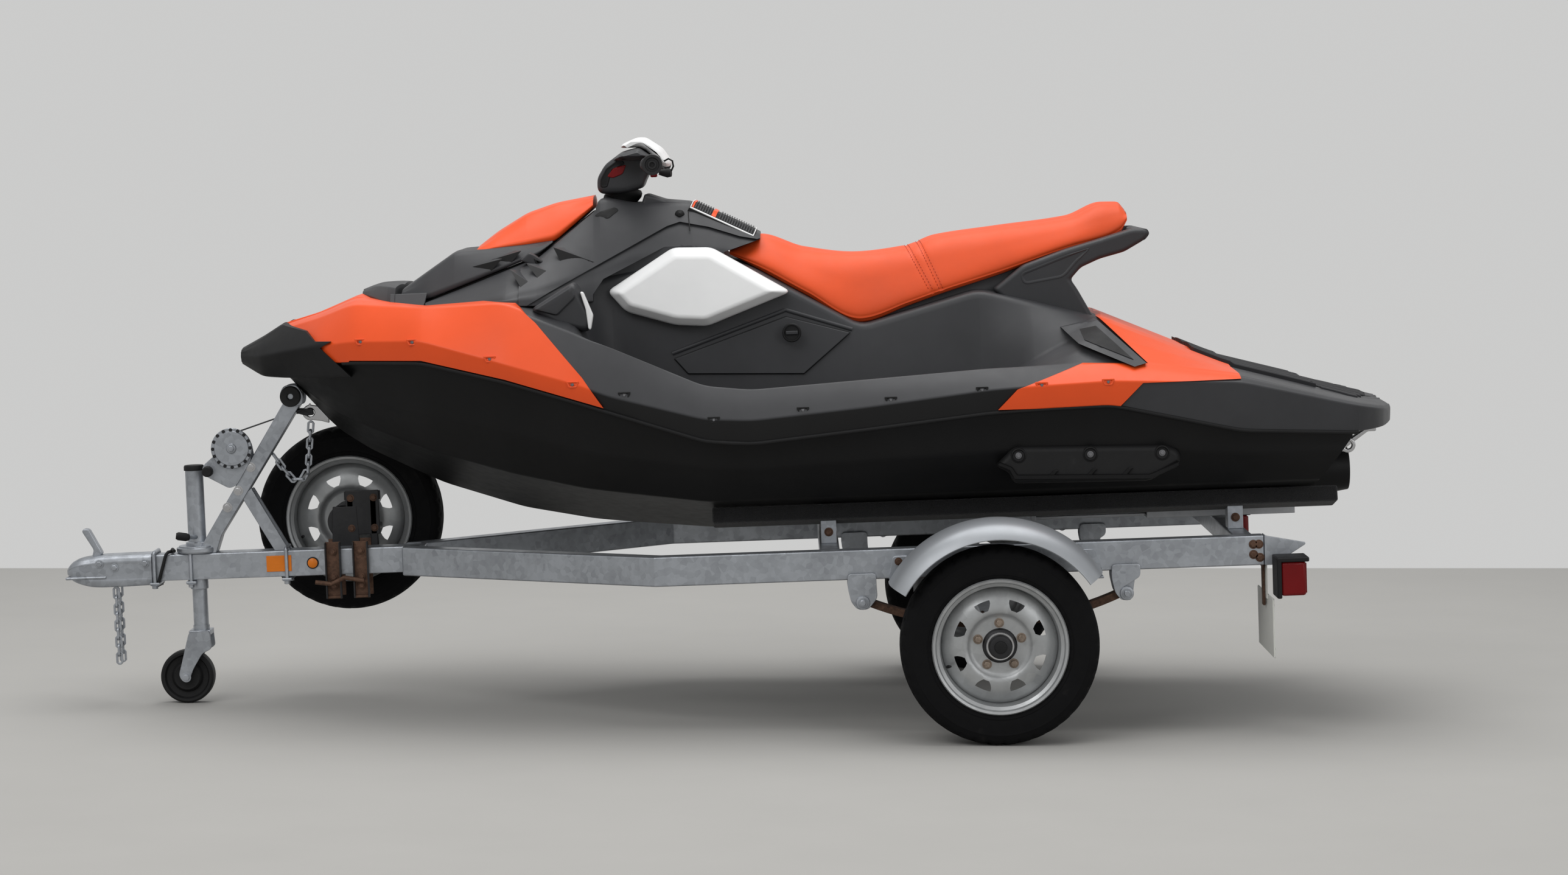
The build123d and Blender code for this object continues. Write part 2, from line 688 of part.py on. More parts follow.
with BuildPart() as rail:
    with BuildSketch(Plane.XY.offset(FRAME_TOP - RAIL_HEIGHT)):
        with BuildLine():
            Polyline(*rail_plan(0), close=True)
        make_face()
    extrude(amount=RAIL_HEIGHT)
    with BuildSketch(Plane.XY.offset(FRAME_TOP - RAIL_HEIGHT + RAIL_WALL)):
        with BuildLine():
            Polyline(*rail_plan(RAIL_WALL), close=True)
        make_face()
    extrude(amount=RAIL_HEIGHT - 2 * RAIL_WALL, mode=Mode.SUBTRACT)
tongue_bar = slab(
    (TONGUE_FRONT_X, RAIL_FRONT_X + 60),
    (-TONGUE_SIDE / 2, TONGUE_SIDE / 2),
    (FRAME_TOP - TONGUE_SIDE, FRAME_TOP),
)
rails = pair(cut(rail.part, tongue_bar, slab((-3000, 0), (0, 900), (0, 900))))
CROSS_HALF = RAIL_Y - RAIL_WIDTH / 2
cross_half = CROSS_SIDE / 2
cross_bars = [
    slab((x - cross_half, x + cross_half), (-CROSS_HALF, CROSS_HALF), (FRAME_TOP - CROSS_SIDE, FRAME_TOP))
    for x in CROSS_X
]
crossmembers = fused(*cross_bars)

# Jack
jack_bore = round_bar((JACK_X, 0, 0), (JACK_X, 0, 800), JACK_RADIUS + SKIN_GAP)
tongue = cut(tongue_bar, jack_bore)
TUBE_LOW_Z = FRAME_TOP - TONGUE_SIDE - 28
LEG_BORE = JACK_LEG_RADIUS + SKIN_GAP
jack_tube = fused(
    round_bar((JACK_X, 0, TUBE_LOW_Z), (JACK_X, 0, JACK_TOP_Z), JACK_RADIUS, LEG_BORE),
    round_bar((JACK_X, 0, JACK_TOP_Z), (JACK_X, 0, JACK_TOP_Z + 6), JACK_RADIUS),
    round_bar((JACK_X, 0, FRAME_TOP + SKIN_GAP), (JACK_X, 0, FRAME_TOP + 20), JACK_RADIUS + 26, LEG_BORE),
)

# The jack's leg and caster reach the floor although the tongue leans
sin_lean = sin(radians(PARK_TILT))
cos_lean = cos(radians(PARK_TILT))
CASTER_X = JACK_X - CASTER_TRAIL
caster_z = WHEEL_RADIUS + (CASTER_RADIUS - WHEEL_RADIUS - CASTER_X * sin_lean) / cos_lean
fork_top = caster_z + CASTER_RADIUS + MOVING_GAP + 6
FORK_HALF = CASTER_WIDTH / 2 + MOVING_GAP + 1
STEM_RADIUS = 10.0
PIN_RADIUS = 6.0
jack_leg = cut(
    round_bar((JACK_X, 0, fork_top + 1), (JACK_X, 0, JACK_TOP_Z - 90), JACK_LEG_RADIUS),
    round_bar((JACK_X, 0, fork_top), (JACK_X, 0, fork_top + 60), STEM_RADIUS + RUNNING_GAP),
)
fork_cheek = side_prism(
    [
        (JACK_X - 22, fork_top),
        (JACK_X + 20, fork_top),
        (JACK_X + 16, fork_top - 14),
        (CASTER_X + 14, caster_z - 10),
        (CASTER_X - 14, caster_z - 10),
        (CASTER_X - 12, caster_z + 18),
    ],
    FORK_HALF + 5,
    FORK_HALF,
)
caster_fork = fused(
    pair(fork_cheek),
    slab((JACK_X - 24, JACK_X + 22), (-FORK_HALF - 5, FORK_HALF + 5), (fork_top - 6, fork_top)),
    round_bar((JACK_X, 0, fork_top - 3), (JACK_X, 0, fork_top + 55), STEM_RADIUS),
    cross_bar((CASTER_X, caster_z), FORK_HALF + 8, PIN_RADIUS),
)
caster_half = CASTER_WIDTH / 2
with BuildPart() as caster:
    with BuildSketch(Plane.YZ):
        with BuildLine():
            Polyline(
                (-caster_half, PIN_RADIUS + RUNNING_GAP),
                (-caster_half, 26),
                (-caster_half + 6, 30),
                (-caster_half + 6, CASTER_RADIUS - 20),
                (-caster_half, CASTER_RADIUS - 14),
                (-caster_half + 4, CASTER_RADIUS - 4),
                (-caster_half + 10, CASTER_RADIUS),
                (caster_half - 10, CASTER_RADIUS),
                (caster_half - 4, CASTER_RADIUS - 4),
                (caster_half, CASTER_RADIUS - 14),
                (caster_half - 6, CASTER_RADIUS - 20),
                (caster_half - 6, 30),
                (caster_half, 26),
                (caster_half, PIN_RADIUS + RUNNING_GAP),
                close=True,
            )
        make_face()
    revolve(axis=Axis.Y)
caster_wheel = caster.part.moved(Location((CASTER_X, 0, caster_z)))

# Coupler, with a socket for the hitch ball
BALL_X = -2425.0
SOCKET_RADIUS = 25.5
coupler = cut(
    fused(
        side_prism(
            [
                (-2462, 432),
                (-2456, 462),
                (-2425, 486),
                (-2360, 494),
                (-2230, 494),
                (-2230, 404),
                (-2320, 404),
                (-2400, 398),
                (-2450, 404),
            ],
            44,
        ),
        side_prism([(-2398, 488), (-2420, 545), (-2408, 560), (-2386, 548), (-2356, 490)], 9),
    ),
    slab((TONGUE_FRONT_X, -2000), (-TONGUE_SIDE / 2, TONGUE_SIDE / 2), (FRAME_TOP - TONGUE_SIDE, FRAME_TOP)),
    round_bar((BALL_X, 0, 380), (BALL_X, 0, 446), SOCKET_RADIUS),
)

# Chains: square-wire links, each turned a quarter from the last
LINK_WIRE = 6.0
LINK_INNER = 24.0
LINK_GAP = 7.4
LINK_SLACK = 2.0


def chain_link():
    """One upright link with clipped corners."""
    long = LINK_INNER / 2
    wide = LINK_GAP / 2
    x = wide + LINK_WIRE
    z = long + LINK_WIRE
    c = LINK_WIRE
    quarter = [(x, z - c), (x - c, z)]
    with BuildPart() as link:
        with BuildSketch(Plane.XZ.offset(-LINK_WIRE / 2)):
            with BuildLine():
                top = quarter + [(-across, up) for across, up in reversed(quarter)]
                Polyline(*top, *[(-across, -up) for across, up in top], close=True)
            make_face()
            Rectangle(2 * wide, 2 * long, mode=Mode.SUBTRACT)
        extrude(amount=LINK_WIRE)
    return link.part


def chain_along(points, y):
    """Links strung along a side-view path at one y."""
    pitch = LINK_INNER - LINK_SLACK
    links = []
    turn = 0
    carry = pitch / 2
    for (x0, z0), (x1, z1) in zip(points, points[1:]):
        run = hypot(x1 - x0, z1 - z0)
        lean_deg = degrees(atan2(x1 - x0, z1 - z0))
        while carry < run:
            share = carry / run
            spot = Location((x0 + share * (x1 - x0), y, z0 + share * (z1 - z0)), (0, lean_deg, 0))
            links.append(chain_link().moved(spot * Location((0, 0, 0), (0, 0, turn))))
            turn = 90 - turn
            carry += pitch
        carry -= run
    return links


CHAIN_X = -2330.0
CHAIN_TOP = 395.6
CHAIN_DROP = [(CHAIN_X, CHAIN_TOP), (CHAIN_X, 205)]
safety_chains = fused(*chain_along(CHAIN_DROP, -26), *chain_along(CHAIN_DROP, 26))

# Winch post, winch, strap, roller and bow eye
post_bar = side_prism([(-2112, FRAME_TOP), (-2046, FRAME_TOP), (-1872, 800), (-1906, 822)], 25)
post_brace = side_prism([(-1912, FRAME_TOP), (-1872, FRAME_TOP), (-1940, 655), (-1972, 622)], 14)
ROLLER_SPOT = (-1837.0, 897.0)
ROLLER_RADIUS = 28.0
ROLLER_HALF = 44.0
ROLLER_PIN = 7.0
roller_cheek = side_prism(
    [(-1922, 770), (-1888, 752), (-1818, 892), (-1832, 912), (-1852, 908), (-1930, 800)],
    52,
    47,
)
cheek_spacer = slab((-1915, -1885), (-50, 50), (768, 790))
roller_pin = cross_bar(ROLLER_SPOT, 56, ROLLER_PIN)
jack_flange_room = round_bar((JACK_X, 0, FRAME_TOP), (JACK_X, 0, 800), JACK_RADIUS + 30)
winch_post = cut(fused(post_bar, post_brace, pair(roller_cheek), cheek_spacer, roller_pin), jack_flange_room)
bow_roller = cross_bar(ROLLER_SPOT, ROLLER_HALF, ROLLER_RADIUS, ROLLER_PIN + SKIN_GAP)
WINCH_SPOT = (-2010.0, 760.0)
winch_cheek = side_prism([(-2060, 690), (-2012, 664), (-1958, 752), (-1990, 800), (-2030, 792)], 42, 37)
winch_drum = cross_bar(WINCH_SPOT, 40, 33)
winch_gear = round_bar((WINCH_SPOT[0], -58, WINCH_SPOT[1]), (WINCH_SPOT[0], -50, WINCH_SPOT[1]), 50)
winch_shaft = round_bar((WINCH_SPOT[0], -64, WINCH_SPOT[1]), (WINCH_SPOT[0], 54, WINCH_SPOT[1]), 9)
winch_base = side_prism(
    [(-2040, 672), (-1990, 655), (-1930, 752), (-1966, 770), (-1972, 757), (-2024, 672)],
    42,
)
post_back = side_prism([(-2046, FRAME_TOP), (-1500, FRAME_TOP), (-1500, 800), (-1872, 800)], 60)
winch = cut(fused(pair(winch_cheek), winch_drum, winch_gear, winch_shaft, winch_base), post_bar, post_back)
EYE_SPOT = (-1790.0, 850.0)
EYE_BORE = 11.0
bow_eye = cut(
    fused(
        cross_bar(EYE_SPOT, 6, 21),
        side_prism([(-1792, 871), (-1770, 868), (-1740, 835), (-1740, 820), (-1760, 826), (-1786, 830)], 6),
    ),
    cross_bar(EYE_SPOT, 20, EYE_BORE),
    hull_skin,
)
STRAP_TOP = (-2012.0, 796.0)
strap_run = side_prism([STRAP_TOP, (STRAP_TOP[0] - 1, STRAP_TOP[1] + 3), (-1812, 861), (-1812, 858)], 24)
strap_hook = side_prism([(-1826, 850), (-1812, 862), (-1784, 860), (-1782, 844), (-1800, 842)], 13, 6.3)
strap_pin = cross_bar(EYE_SPOT, 13, 5)
strap_bridge = slab((-1826, -1813), (-13, 13), (848, 862))
winch_strap = fused(strap_run, pair(strap_hook), strap_pin, strap_bridge)
BOW_CHAIN = [(-1790, 821), (-1803, 700), (-1820, 672), (-1845, 672), (-1868, 700), (-1893, 738)]
bow_chain = fused(*chain_along(BOW_CHAIN, 0))

# Spare wheel bracket
SPARE_X = RAIL_FRONT_X - 160.0
SPARE_Y = 188.0
SPARE_Z = 548.0
SPARE_STUB = SPARE_Y - DISC_Y - SKIN_GAP
spare_outline = shifted([(-40, -118), (40, -118), (32, 42), (-32, 42)], SPARE_X, SPARE_Z)
spare_plate = side_prism(spare_outline, -TONGUE_SIDE / 2, -TONGUE_SIDE / 2 - 8)
spare_stub = round_bar((SPARE_X, 42, SPARE_Z), (SPARE_X, SPARE_STUB, SPARE_Z), 48)
spare_stud = round_bar((SPARE_X, 42, SPARE_Z), (SPARE_X, SPARE_Y + 30, SPARE_Z), 14)
spare_bracket = fused(spare_plate, spare_stub, spare_stud)

# Axle, springs, hangers, fenders
AXLE_LINE = (0.0, WHEEL_RADIUS)
axle_half = AXLE_SIDE / 2
axle_beam = slab(
    (-axle_half, axle_half),
    (-RAIL_Y - 45, RAIL_Y + 45),
    (WHEEL_RADIUS - axle_half, WHEEL_RADIUS + axle_half),
)
spindles = cross_bar(AXLE_LINE, TRACK_HALF, SPINDLE_RADIUS)
collars = cross_bar(AXLE_LINE, TRACK_HALF - 86, axle_half - 1)
axle = fused(axle_beam, collars, spindles)
SPRING_MID_Z = WHEEL_RADIUS + AXLE_SIDE / 2 + SPRING_THICK / 2 + SKIN_GAP
with BuildPart() as spring:
    with BuildSketch(Plane.XZ.offset(RAIL_Y - SPRING_WIDTH / 2)):
        with BuildLine():
            half = SPRING_THICK / 2
            top_eye = SPRING_EYE_Z + half
            low_eye = SPRING_EYE_Z - half
            top = ThreePointArc((-SPRING_HALF, top_eye), (0, SPRING_MID_Z + half), (SPRING_HALF, top_eye))
            low = ThreePointArc((-SPRING_HALF, low_eye), (0, SPRING_MID_Z - half), (SPRING_HALF, low_eye))
            Line(top @ 0, low @ 0)
            Line(top @ 1, low @ 1)
        make_face()
    extrude(amount=SPRING_WIDTH)
    for x in (-SPRING_HALF, SPRING_HALF):
        with BuildSketch(Plane.XZ.offset(RAIL_Y - SPRING_WIDTH / 2)):
            with Locations((x, SPRING_EYE_Z)):
                Circle(17)
        extrude(amount=SPRING_WIDTH)
    for x in (-SPRING_HALF, SPRING_HALF):
        with BuildSketch(Plane.XZ.offset(RAIL_Y - SPRING_WIDTH / 2)):
            with Locations((x, SPRING_EYE_Z)):
                Circle(8 + SKIN_GAP)
        extrude(amount=SPRING_WIDTH, mode=Mode.SUBTRACT)
leaf_springs = pair(spring.part)
HANGER_IN = RAIL_Y - SPRING_WIDTH / 2 - 2
HANGER_OUT = RAIL_Y + SPRING_WIDTH / 2 + 2
RAIL_LOW = FRAME_TOP - RAIL_HEIGHT
hangers = []
for x in (-SPRING_HALF, SPRING_HALF):
    foot_z = SPRING_EYE_Z - 16
    outline = [(x - 26, RAIL_LOW), (x + 26, RAIL_LOW), (x + 14, foot_z), (x - 14, foot_z)]
    hangers.append(side_prism(outline, HANGER_IN, HANGER_IN - 5))
    hangers.append(side_prism(outline, HANGER_OUT + 5, HANGER_OUT))
    hangers.append(slab((x - 26, x + 26), (-HANGER_OUT, -HANGER_IN), (RAIL_LOW - 5, RAIL_LOW)))
    hangers.append(round_bar((x, -HANGER_OUT - 10, SPRING_EYE_Z), (x, -HANGER_IN + 10, SPRING_EYE_Z), 8))
spring_hangers = pair(fused(*hangers))
with BuildPart() as fender_shell:
    with BuildSketch(Plane.YZ):
        with BuildLine():
            out_r = FENDER_RADIUS + WHEEL_RADIUS
            Polyline(
                (-FENDER_IN_Y, out_r - 26),
                (-FENDER_IN_Y, out_r - 6),
                (-FENDER_IN_Y - 10, out_r),
                (-FENDER_OUT_Y + 46, out_r),
                (-FENDER_OUT_Y + 18, out_r - 9),
                (-FENDER_OUT_Y, out_r - 34),
                (-FENDER_OUT_Y, out_r - 46),
                (-FENDER_OUT_Y + 4, out_r - 46),
                (-FENDER_OUT_Y + 4, out_r - 35),
                (-FENDER_OUT_Y + 20, out_r - 13),
                (-FENDER_OUT_Y + 46, out_r - 4),
                (-FENDER_IN_Y - 12, out_r - 4),
                (-FENDER_IN_Y - 4, out_r - 8),
                (-FENDER_IN_Y - 4, out_r - 26),
                close=True,
            )
        make_face()
    revolve(axis=Axis((0, 0, WHEEL_RADIUS), (0, 1, 0)), revolution_arc=FENDER_SWEEP)
fender_arc = fender_shell.part.rotate(Axis((0, 0, WHEEL_RADIUS), (0, 1, 0)), -FENDER_SWEEP / 2)
fender_feet = [
    slab((x - 22, x + 22), (-FENDER_IN_Y - 3, -RAIL_Y - RAIL_WIDTH / 2), (452, 474))
    for x in (-205, 205)
]
fenders = pair(fused(fender_arc, *fender_feet))

# Bunks and their brackets
rise = CHINE_Z - KEEL_Z
slope = hypot(CHINE_B, rise)
along = (CHINE_B / slope, rise / slope)
down = (rise / slope, -CHINE_B / slope)
bunk_top = (BUNK_Y + down[0] * SKIN_GAP, KEEL_Z + rise * BUNK_Y / CHINE_B + down[1] * SKIN_GAP)


def bunk_corner(across, drop):
    """A port corner, from the middle of the bunk's top face."""
    out = bunk_top[0] + along[0] * across + down[0] * drop
    return (-out, bunk_top[1] + along[1] * across + down[1] * drop)


with BuildPart() as bunk:
    with BuildSketch(Plane.YZ.offset(BUNK_X[0])):
        with BuildLine():
            half = BUNK_WIDTH / 2
            Polyline(
                bunk_corner(-half, 0),
                bunk_corner(half, 0),
                bunk_corner(half, BUNK_HEIGHT),
                bunk_corner(-half, BUNK_HEIGHT),
                close=True,
            )
        make_face()
    extrude(amount=BUNK_X[1] - BUNK_X[0])
bunks = pair(bunk.part)
bracket_top = bunk_corner(0, BUNK_HEIGHT)
brackets = []
for x in CROSS_X:
    with BuildPart() as bracket:
        with BuildSketch(Plane.YZ.offset(x - 20)):
            with BuildLine():
                Polyline(
                    (bracket_top[0] - 26, FRAME_TOP),
                    (bracket_top[0] + 26, FRAME_TOP),
                    bunk_corner(-26, BUNK_HEIGHT),
                    bunk_corner(26, BUNK_HEIGHT),
                    close=True,
                )
            make_face()
        extrude(amount=40)
    brackets.append(bracket.part)
bunk_brackets = pair(fused(*brackets))

# Lamps, plate and its hanger
LAMP_IN_Y = RAIL_Y + 30.0
LAMP_OUT_Y = RAIL_Y + 125.0
GUSSET = [(0, 76), (104, 55), (104, 50), (22, 0), (0, 0)]
LAMP = [(18, -66), (23, 28), (100, 12), (76, -76)]
gusset = side_prism(shifted(GUSSET, RAIL_REAR_X, RAIL_LOW), LAMP_IN_Y, LAMP_IN_Y - 8)
gusset_back = slab(
    (RAIL_REAR_X, RAIL_REAR_X + 4),
    (-LAMP_IN_Y, -RAIL_Y + RAIL_WIDTH / 2),
    (RAIL_LOW, FRAME_TOP),
)
lamp_brackets = pair(fused(gusset, gusset_back))
tail_lamps = pair(side_prism(shifted(LAMP, RAIL_REAR_X, RAIL_LOW), LAMP_OUT_Y, LAMP_IN_Y + SKIN_GAP))
plate_hanger = slab((RAIL_REAR_X + 4, RAIL_REAR_X + 7), (-RAIL_Y - 15, -RAIL_Y + 15), (320, 470))
plate_face = slab((RAIL_REAR_X + 7, RAIL_REAR_X + 9), (-RAIL_Y - 105, -RAIL_Y + 195), (180, 330))
plate = fused(plate_hanger, plate_face)

# Small fittings on the craft
ACCESS = [(-800, 972), (-766, 932), (-464, 921), (-340, 1022), (-506, 1070)]
access_prism = side_prism(ACCESS, 300, 180)
access_panels = pair(cut(common(deck_proud, access_prism), deck_clear))
LATCH_SPOT = (-492.0, 1030.0)
latch_bar = round_bar((LATCH_SPOT[0], -265, LATCH_SPOT[1]), (LATCH_SPOT[0], -200, LATCH_SPOT[1]), 24)
deck_latch = lofted(OFFSETS, deck_outline(PANEL_PROUD + SKIN_GAP))
access_latches = pair(cut(latch_bar, deck_latch))
STERN_EYE = (938.0, 690.0)
stern_hull = cut(hull_skin, transom_cut)
eye_ring = round_bar((STERN_EYE[0], -346, STERN_EYE[1]), (STERN_EYE[0], -334, STERN_EYE[1]), 20)
eye_foot = side_prism([(870, 680), (STERN_EYE[0], 672), (STERN_EYE[0], 708), (890, 712)], 346, 334)
eye_bore = round_bar((STERN_EYE[0], -360, STERN_EYE[1]), (STERN_EYE[0], -320, STERN_EYE[1]), 10)
stern_eyes = pair(cut(fused(eye_ring, eye_foot), eye_bore, stern_hull))

# Road wheels: tyre, rim and hub drawn about the y axis with the outer side towards -y
tyre_half = TYRE_WIDTH / 2
TYRE = [
    (47.5, BEAD_RADIUS + SKIN_GAP),
    (47.5, RIM_RADIUS + 4),
    (tyre_half - 3, 190),
    (tyre_half, 208),
    (tyre_half - 4, 230),
    (tyre_half - 12, 243),
    (tyre_half - 20, 247.5),
    (26, WHEEL_RADIUS),
]


def revolved(points):
    """A ring about the y axis from (y, radius) points."""
    with BuildPart() as ring:
        with BuildSketch(Plane.YZ):
            with BuildLine():
                Polyline(*points, close=True)
            make_face()
        revolve(axis=Axis.Y)
    return ring.part


tyre = revolved(TYRE + [(-y, r) for y, r in reversed(TYRE)])
rim_half = RIM_WIDTH / 2
LIP = rim_half - RIM_WALL
barrel = revolved(
    [
        (-rim_half, RIM_RADIUS),
        (-LIP, RIM_RADIUS),
        (-LIP, BEAD_RADIUS),
        (LIP, BEAD_RADIUS),
        (LIP, RIM_RADIUS),
        (rim_half, RIM_RADIUS),
        (rim_half, BEAD_RADIUS - RIM_WALL),
        (-rim_half, BEAD_RADIUS - RIM_WALL),
    ]
)
disc = revolved(
    [
        (DISC_Y - 4, HUB_BORE),
        (DISC_Y, HUB_BORE),
        (DISC_Y, 78),
        (DISC_Y - 22, 92),
        (DISC_Y - 12, 120),
        (DISC_Y + 10, BEAD_RADIUS - RIM_WALL / 2),
        (DISC_Y + 6, BEAD_RADIUS - RIM_WALL / 2),
        (DISC_Y - 17, 118),
        (DISC_Y - 26, 90),
        (DISC_Y - 4, 75),
    ]
)
with BuildPart() as wheel_face:
    add(disc)
    with BuildSketch(Plane.XZ.offset(-80)):
        with PolarLocations(111, WINDOW_COUNT):
            Trapezoid(30, 26, 78, rotation=90)
    extrude(amount=200, mode=Mode.SUBTRACT)
lugs = []
for turn in range(LUG_COUNT):
    angle = radians(90 + turn * 360 / LUG_COUNT)
    spot = (LUG_CIRCLE / 2 * cos(angle), LUG_CIRCLE / 2 * sin(angle))
    lugs.append(round_bar((spot[0], DISC_Y, spot[1]), (spot[0], DISC_Y - 20, spot[1]), 10))
rim = fused(barrel, wheel_face.part, *lugs)
hub = revolved(
    [
        (15, SPINDLE_RADIUS + RUNNING_GAP),
        (78, SPINDLE_RADIUS + RUNNING_GAP),
        (78, 40),
        (26, 40),
        (26, HUB_RADIUS),
        (DISC_Y + SKIN_GAP, HUB_RADIUS),
        (DISC_Y + SKIN_GAP, HUB_BORE - 1),
        (-20, HUB_BORE - 1),
        (-24, 28),
        (-26, 0.01),
        (-14, 0.01),
        (-14, SPINDLE_RADIUS + RUNNING_GAP),
    ]
)

# Everything that leans with the trailer, and what stands upright on the floor
lean = Location((AXLE_X, 0, WHEEL_RADIUS), (0, -PARK_TILT, 0)) * Location((0, 0, -WHEEL_RADIUS))
stand = Location((AXLE_X, 0, 0))
spare_wheel = Location((SPARE_X, SPARE_Y, SPARE_Z), (0, 0, 180))

leaning = {
    "hull": hull,
    "engine_block": engine_block,
    "deck": deck,
    "stern_platform": stern_platform,
    "bow_bumper": bow_bumper,
    "bow_panel": bow_panel,
    "stern_panels": stern_panels,
    "stern_vents": stern_vents,
    "storage_lid": storage_lid,
    "hood_panel": hood_panel,
    "console": console,
    "hinge_cover": hinge_cover,
    "knee_pads": knee_pads,
    "deflectors": deflectors,
    "sponsons": sponsons,
    "seat": seat,
    "seat_support": seat_support,
    "traction_mats": fused(foot_mats, stern_mat),
    "jet_pump": jet_pump,
    "impeller": impeller,
    "steering_nozzle": steering_nozzle,
    "ride_plate": ride_plate,
    "boarding_step": boarding_step,
    "steering_pod": steering_pod,
    "handlebar_pad": handlebar_pad,
    "handlebar": handlebar,
    "rails": rails,
    "crossmembers": crossmembers,
    "tongue": tongue,
    "jack_tube": jack_tube,
    "jack_leg": jack_leg,
    "caster_fork": caster_fork,
    "caster_wheel": caster_wheel,
    "coupler": coupler,
    "chains": fused(safety_chains, bow_chain),
    "winch_post": winch_post,
    "bow_roller": bow_roller,
    "winch": winch,
    "lashing_eyes": fused(bow_eye, stern_eyes),
    "winch_strap": winch_strap,
    "spare_bracket": spare_bracket,
    "spare_tyre": tyre.moved(spare_wheel),
    "spare_rim": rim.moved(spare_wheel),
    "axle": axle,
    "leaf_springs": leaf_springs,
    "spring_hangers": spring_hangers,
    "fenders": fenders,
    "bunks": bunks,
    "brackets": fused(bunk_brackets, lamp_brackets),
    "tail_lamps": tail_lamps,
    "plate": plate,
    "access_panels": access_panels,
    "access_latches": access_latches,
}
port_wheel = Location((0, -TRACK_HALF, WHEEL_RADIUS))
starboard_wheel = Location((0, TRACK_HALF, WHEEL_RADIUS), (0, 0, 180))
standing = {
    "tyre_left": tyre.moved(port_wheel),
    "rim_left": rim.moved(port_wheel),
    "hub_left": hub.moved(port_wheel),
    "tyre_right": tyre.moved(starboard_wheel),
    "rim_right": rim.moved(starboard_wheel),
    "hub_right": hub.moved(starboard_wheel),
}

os.makedirs("parts", exist_ok=True)
for name, piece in leaning.items():
    placed = piece.moved(lean)
    placed.label = name
    export_step(placed, f"parts/{name}.step")
for name, piece in standing.items():
    placed = piece.moved(stand)
    placed.label = name
    export_step(placed, f"parts/{name}.step")
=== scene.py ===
import json
from bisect import bisect_right
from math import atan2, ceil, cos, exp, hypot, pi, radians, sin

import bmesh
import bpy
from mathutils import Matrix, Vector


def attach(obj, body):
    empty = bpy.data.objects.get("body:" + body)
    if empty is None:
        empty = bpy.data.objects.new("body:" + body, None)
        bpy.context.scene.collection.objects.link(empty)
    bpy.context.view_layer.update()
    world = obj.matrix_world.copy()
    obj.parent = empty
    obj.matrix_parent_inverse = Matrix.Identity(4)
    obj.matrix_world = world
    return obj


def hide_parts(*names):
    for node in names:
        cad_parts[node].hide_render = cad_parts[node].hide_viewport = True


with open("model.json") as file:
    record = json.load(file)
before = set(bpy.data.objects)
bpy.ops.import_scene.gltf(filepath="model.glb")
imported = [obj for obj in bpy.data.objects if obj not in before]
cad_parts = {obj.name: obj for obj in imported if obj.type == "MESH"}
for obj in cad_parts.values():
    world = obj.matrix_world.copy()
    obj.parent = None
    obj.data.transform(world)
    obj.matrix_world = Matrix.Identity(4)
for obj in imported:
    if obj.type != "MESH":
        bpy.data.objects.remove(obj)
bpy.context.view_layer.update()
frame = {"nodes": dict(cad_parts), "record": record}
NODES = frame["nodes"]
RECORD = frame["record"]
BODY_OF = {node: body for body, nodes in RECORD["behaviour"]["bodies"].items() for node in nodes}
SLOT_OF = {row["node"]: row["material_slot"] for row in RECORD["subparts"]}
ROOT = "craft_and_trailer"

# Level millimetres, as the part is drawn, to the leaning row frame in metres
AXLE_X = 0.711915
WHEEL_R = 0.25
LEAN_DEG = -2.1
LEAN = (
    Matrix.Translation((AXLE_X, 0, WHEEL_R))
    @ Matrix.Rotation(radians(LEAN_DEG), 4, "Y")
    @ Matrix.Translation((0, 0, -WHEEL_R))
    @ Matrix.Scale(0.001, 4)
)
SIDES = ((-1, "left"), (1, "right"))
WELD = 2e-5
TINY = 1e-6


# Materials

class Finish:
    """A material put together around its one shader."""

    def __init__(self, name):
        self.mat = bpy.data.materials.new(name)
        self.mat.use_nodes = True
        self.tree = self.mat.node_tree
        self.bsdf = self.tree.nodes["Principled BSDF"]

    def put(self, node, inputs):
        """Sets a node's inputs to constants, or links them to other nodes."""
        for socket, value in inputs.items():
            if isinstance(value, bpy.types.NodeSocket):
                self.tree.links.new(value, node.inputs[socket])
            else:
                node.inputs[socket].default_value = value

    def add(self, kind, inputs):
        node = self.tree.nodes.new("ShaderNode" + kind)
        self.put(node, inputs)
        return node

    def texture(self, kind, inputs):
        """A texture laid in the piece's own coordinates."""
        coord = self.add("TexCoord", {})
        return self.add("Tex" + kind, {"Vector": coord.outputs["Object"], **inputs})

    def noise(self, scale, detail=4.0, rough=0.55):
        return self.texture("Noise", {"Scale": scale, "Detail": detail, "Roughness": rough}).outputs["Fac"]

    def cells(self, scale, feature="F1"):
        tex = self.texture("Voronoi", {"Scale": scale})
        tex.feature = feature
        return tex

    def tint(self, value, *stops):
        """The base colour, over stops of a place, a colour and its share."""
        node = self.add("ValToRGB", {"Fac": value})
        band = node.color_ramp
        while len(band.elements) < len(stops):
            band.elements.new(0.5)
        for element, (place, colour, share) in zip(band.elements, stops):
            element.position = place
            element.color = (*[c * share for c in colour], 1)
        self.put(self.bsdf, {"Base Color": node.outputs["Color"]})

    def gloss(self, value, low, high):
        """The roughness, from low to high over a value."""
        node = self.add("MapRange", {"Value": value, "To Min": low, "To Max": high})
        self.put(self.bsdf, {"Roughness": node.outputs["Result"]})

    def bump(self, value, strength, distance, **under):
        node = self.add("Bump", {"Height": value, "Strength": strength, "Distance": distance, **under})
        self.put(self.bsdf, {"Normal": node.outputs["Normal"]})
        return node.outputs["Normal"]

    def done(self, **constants):
        self.put(self.bsdf, {key.replace("_", " "): value for key, value in constants.items()})
        return self.mat


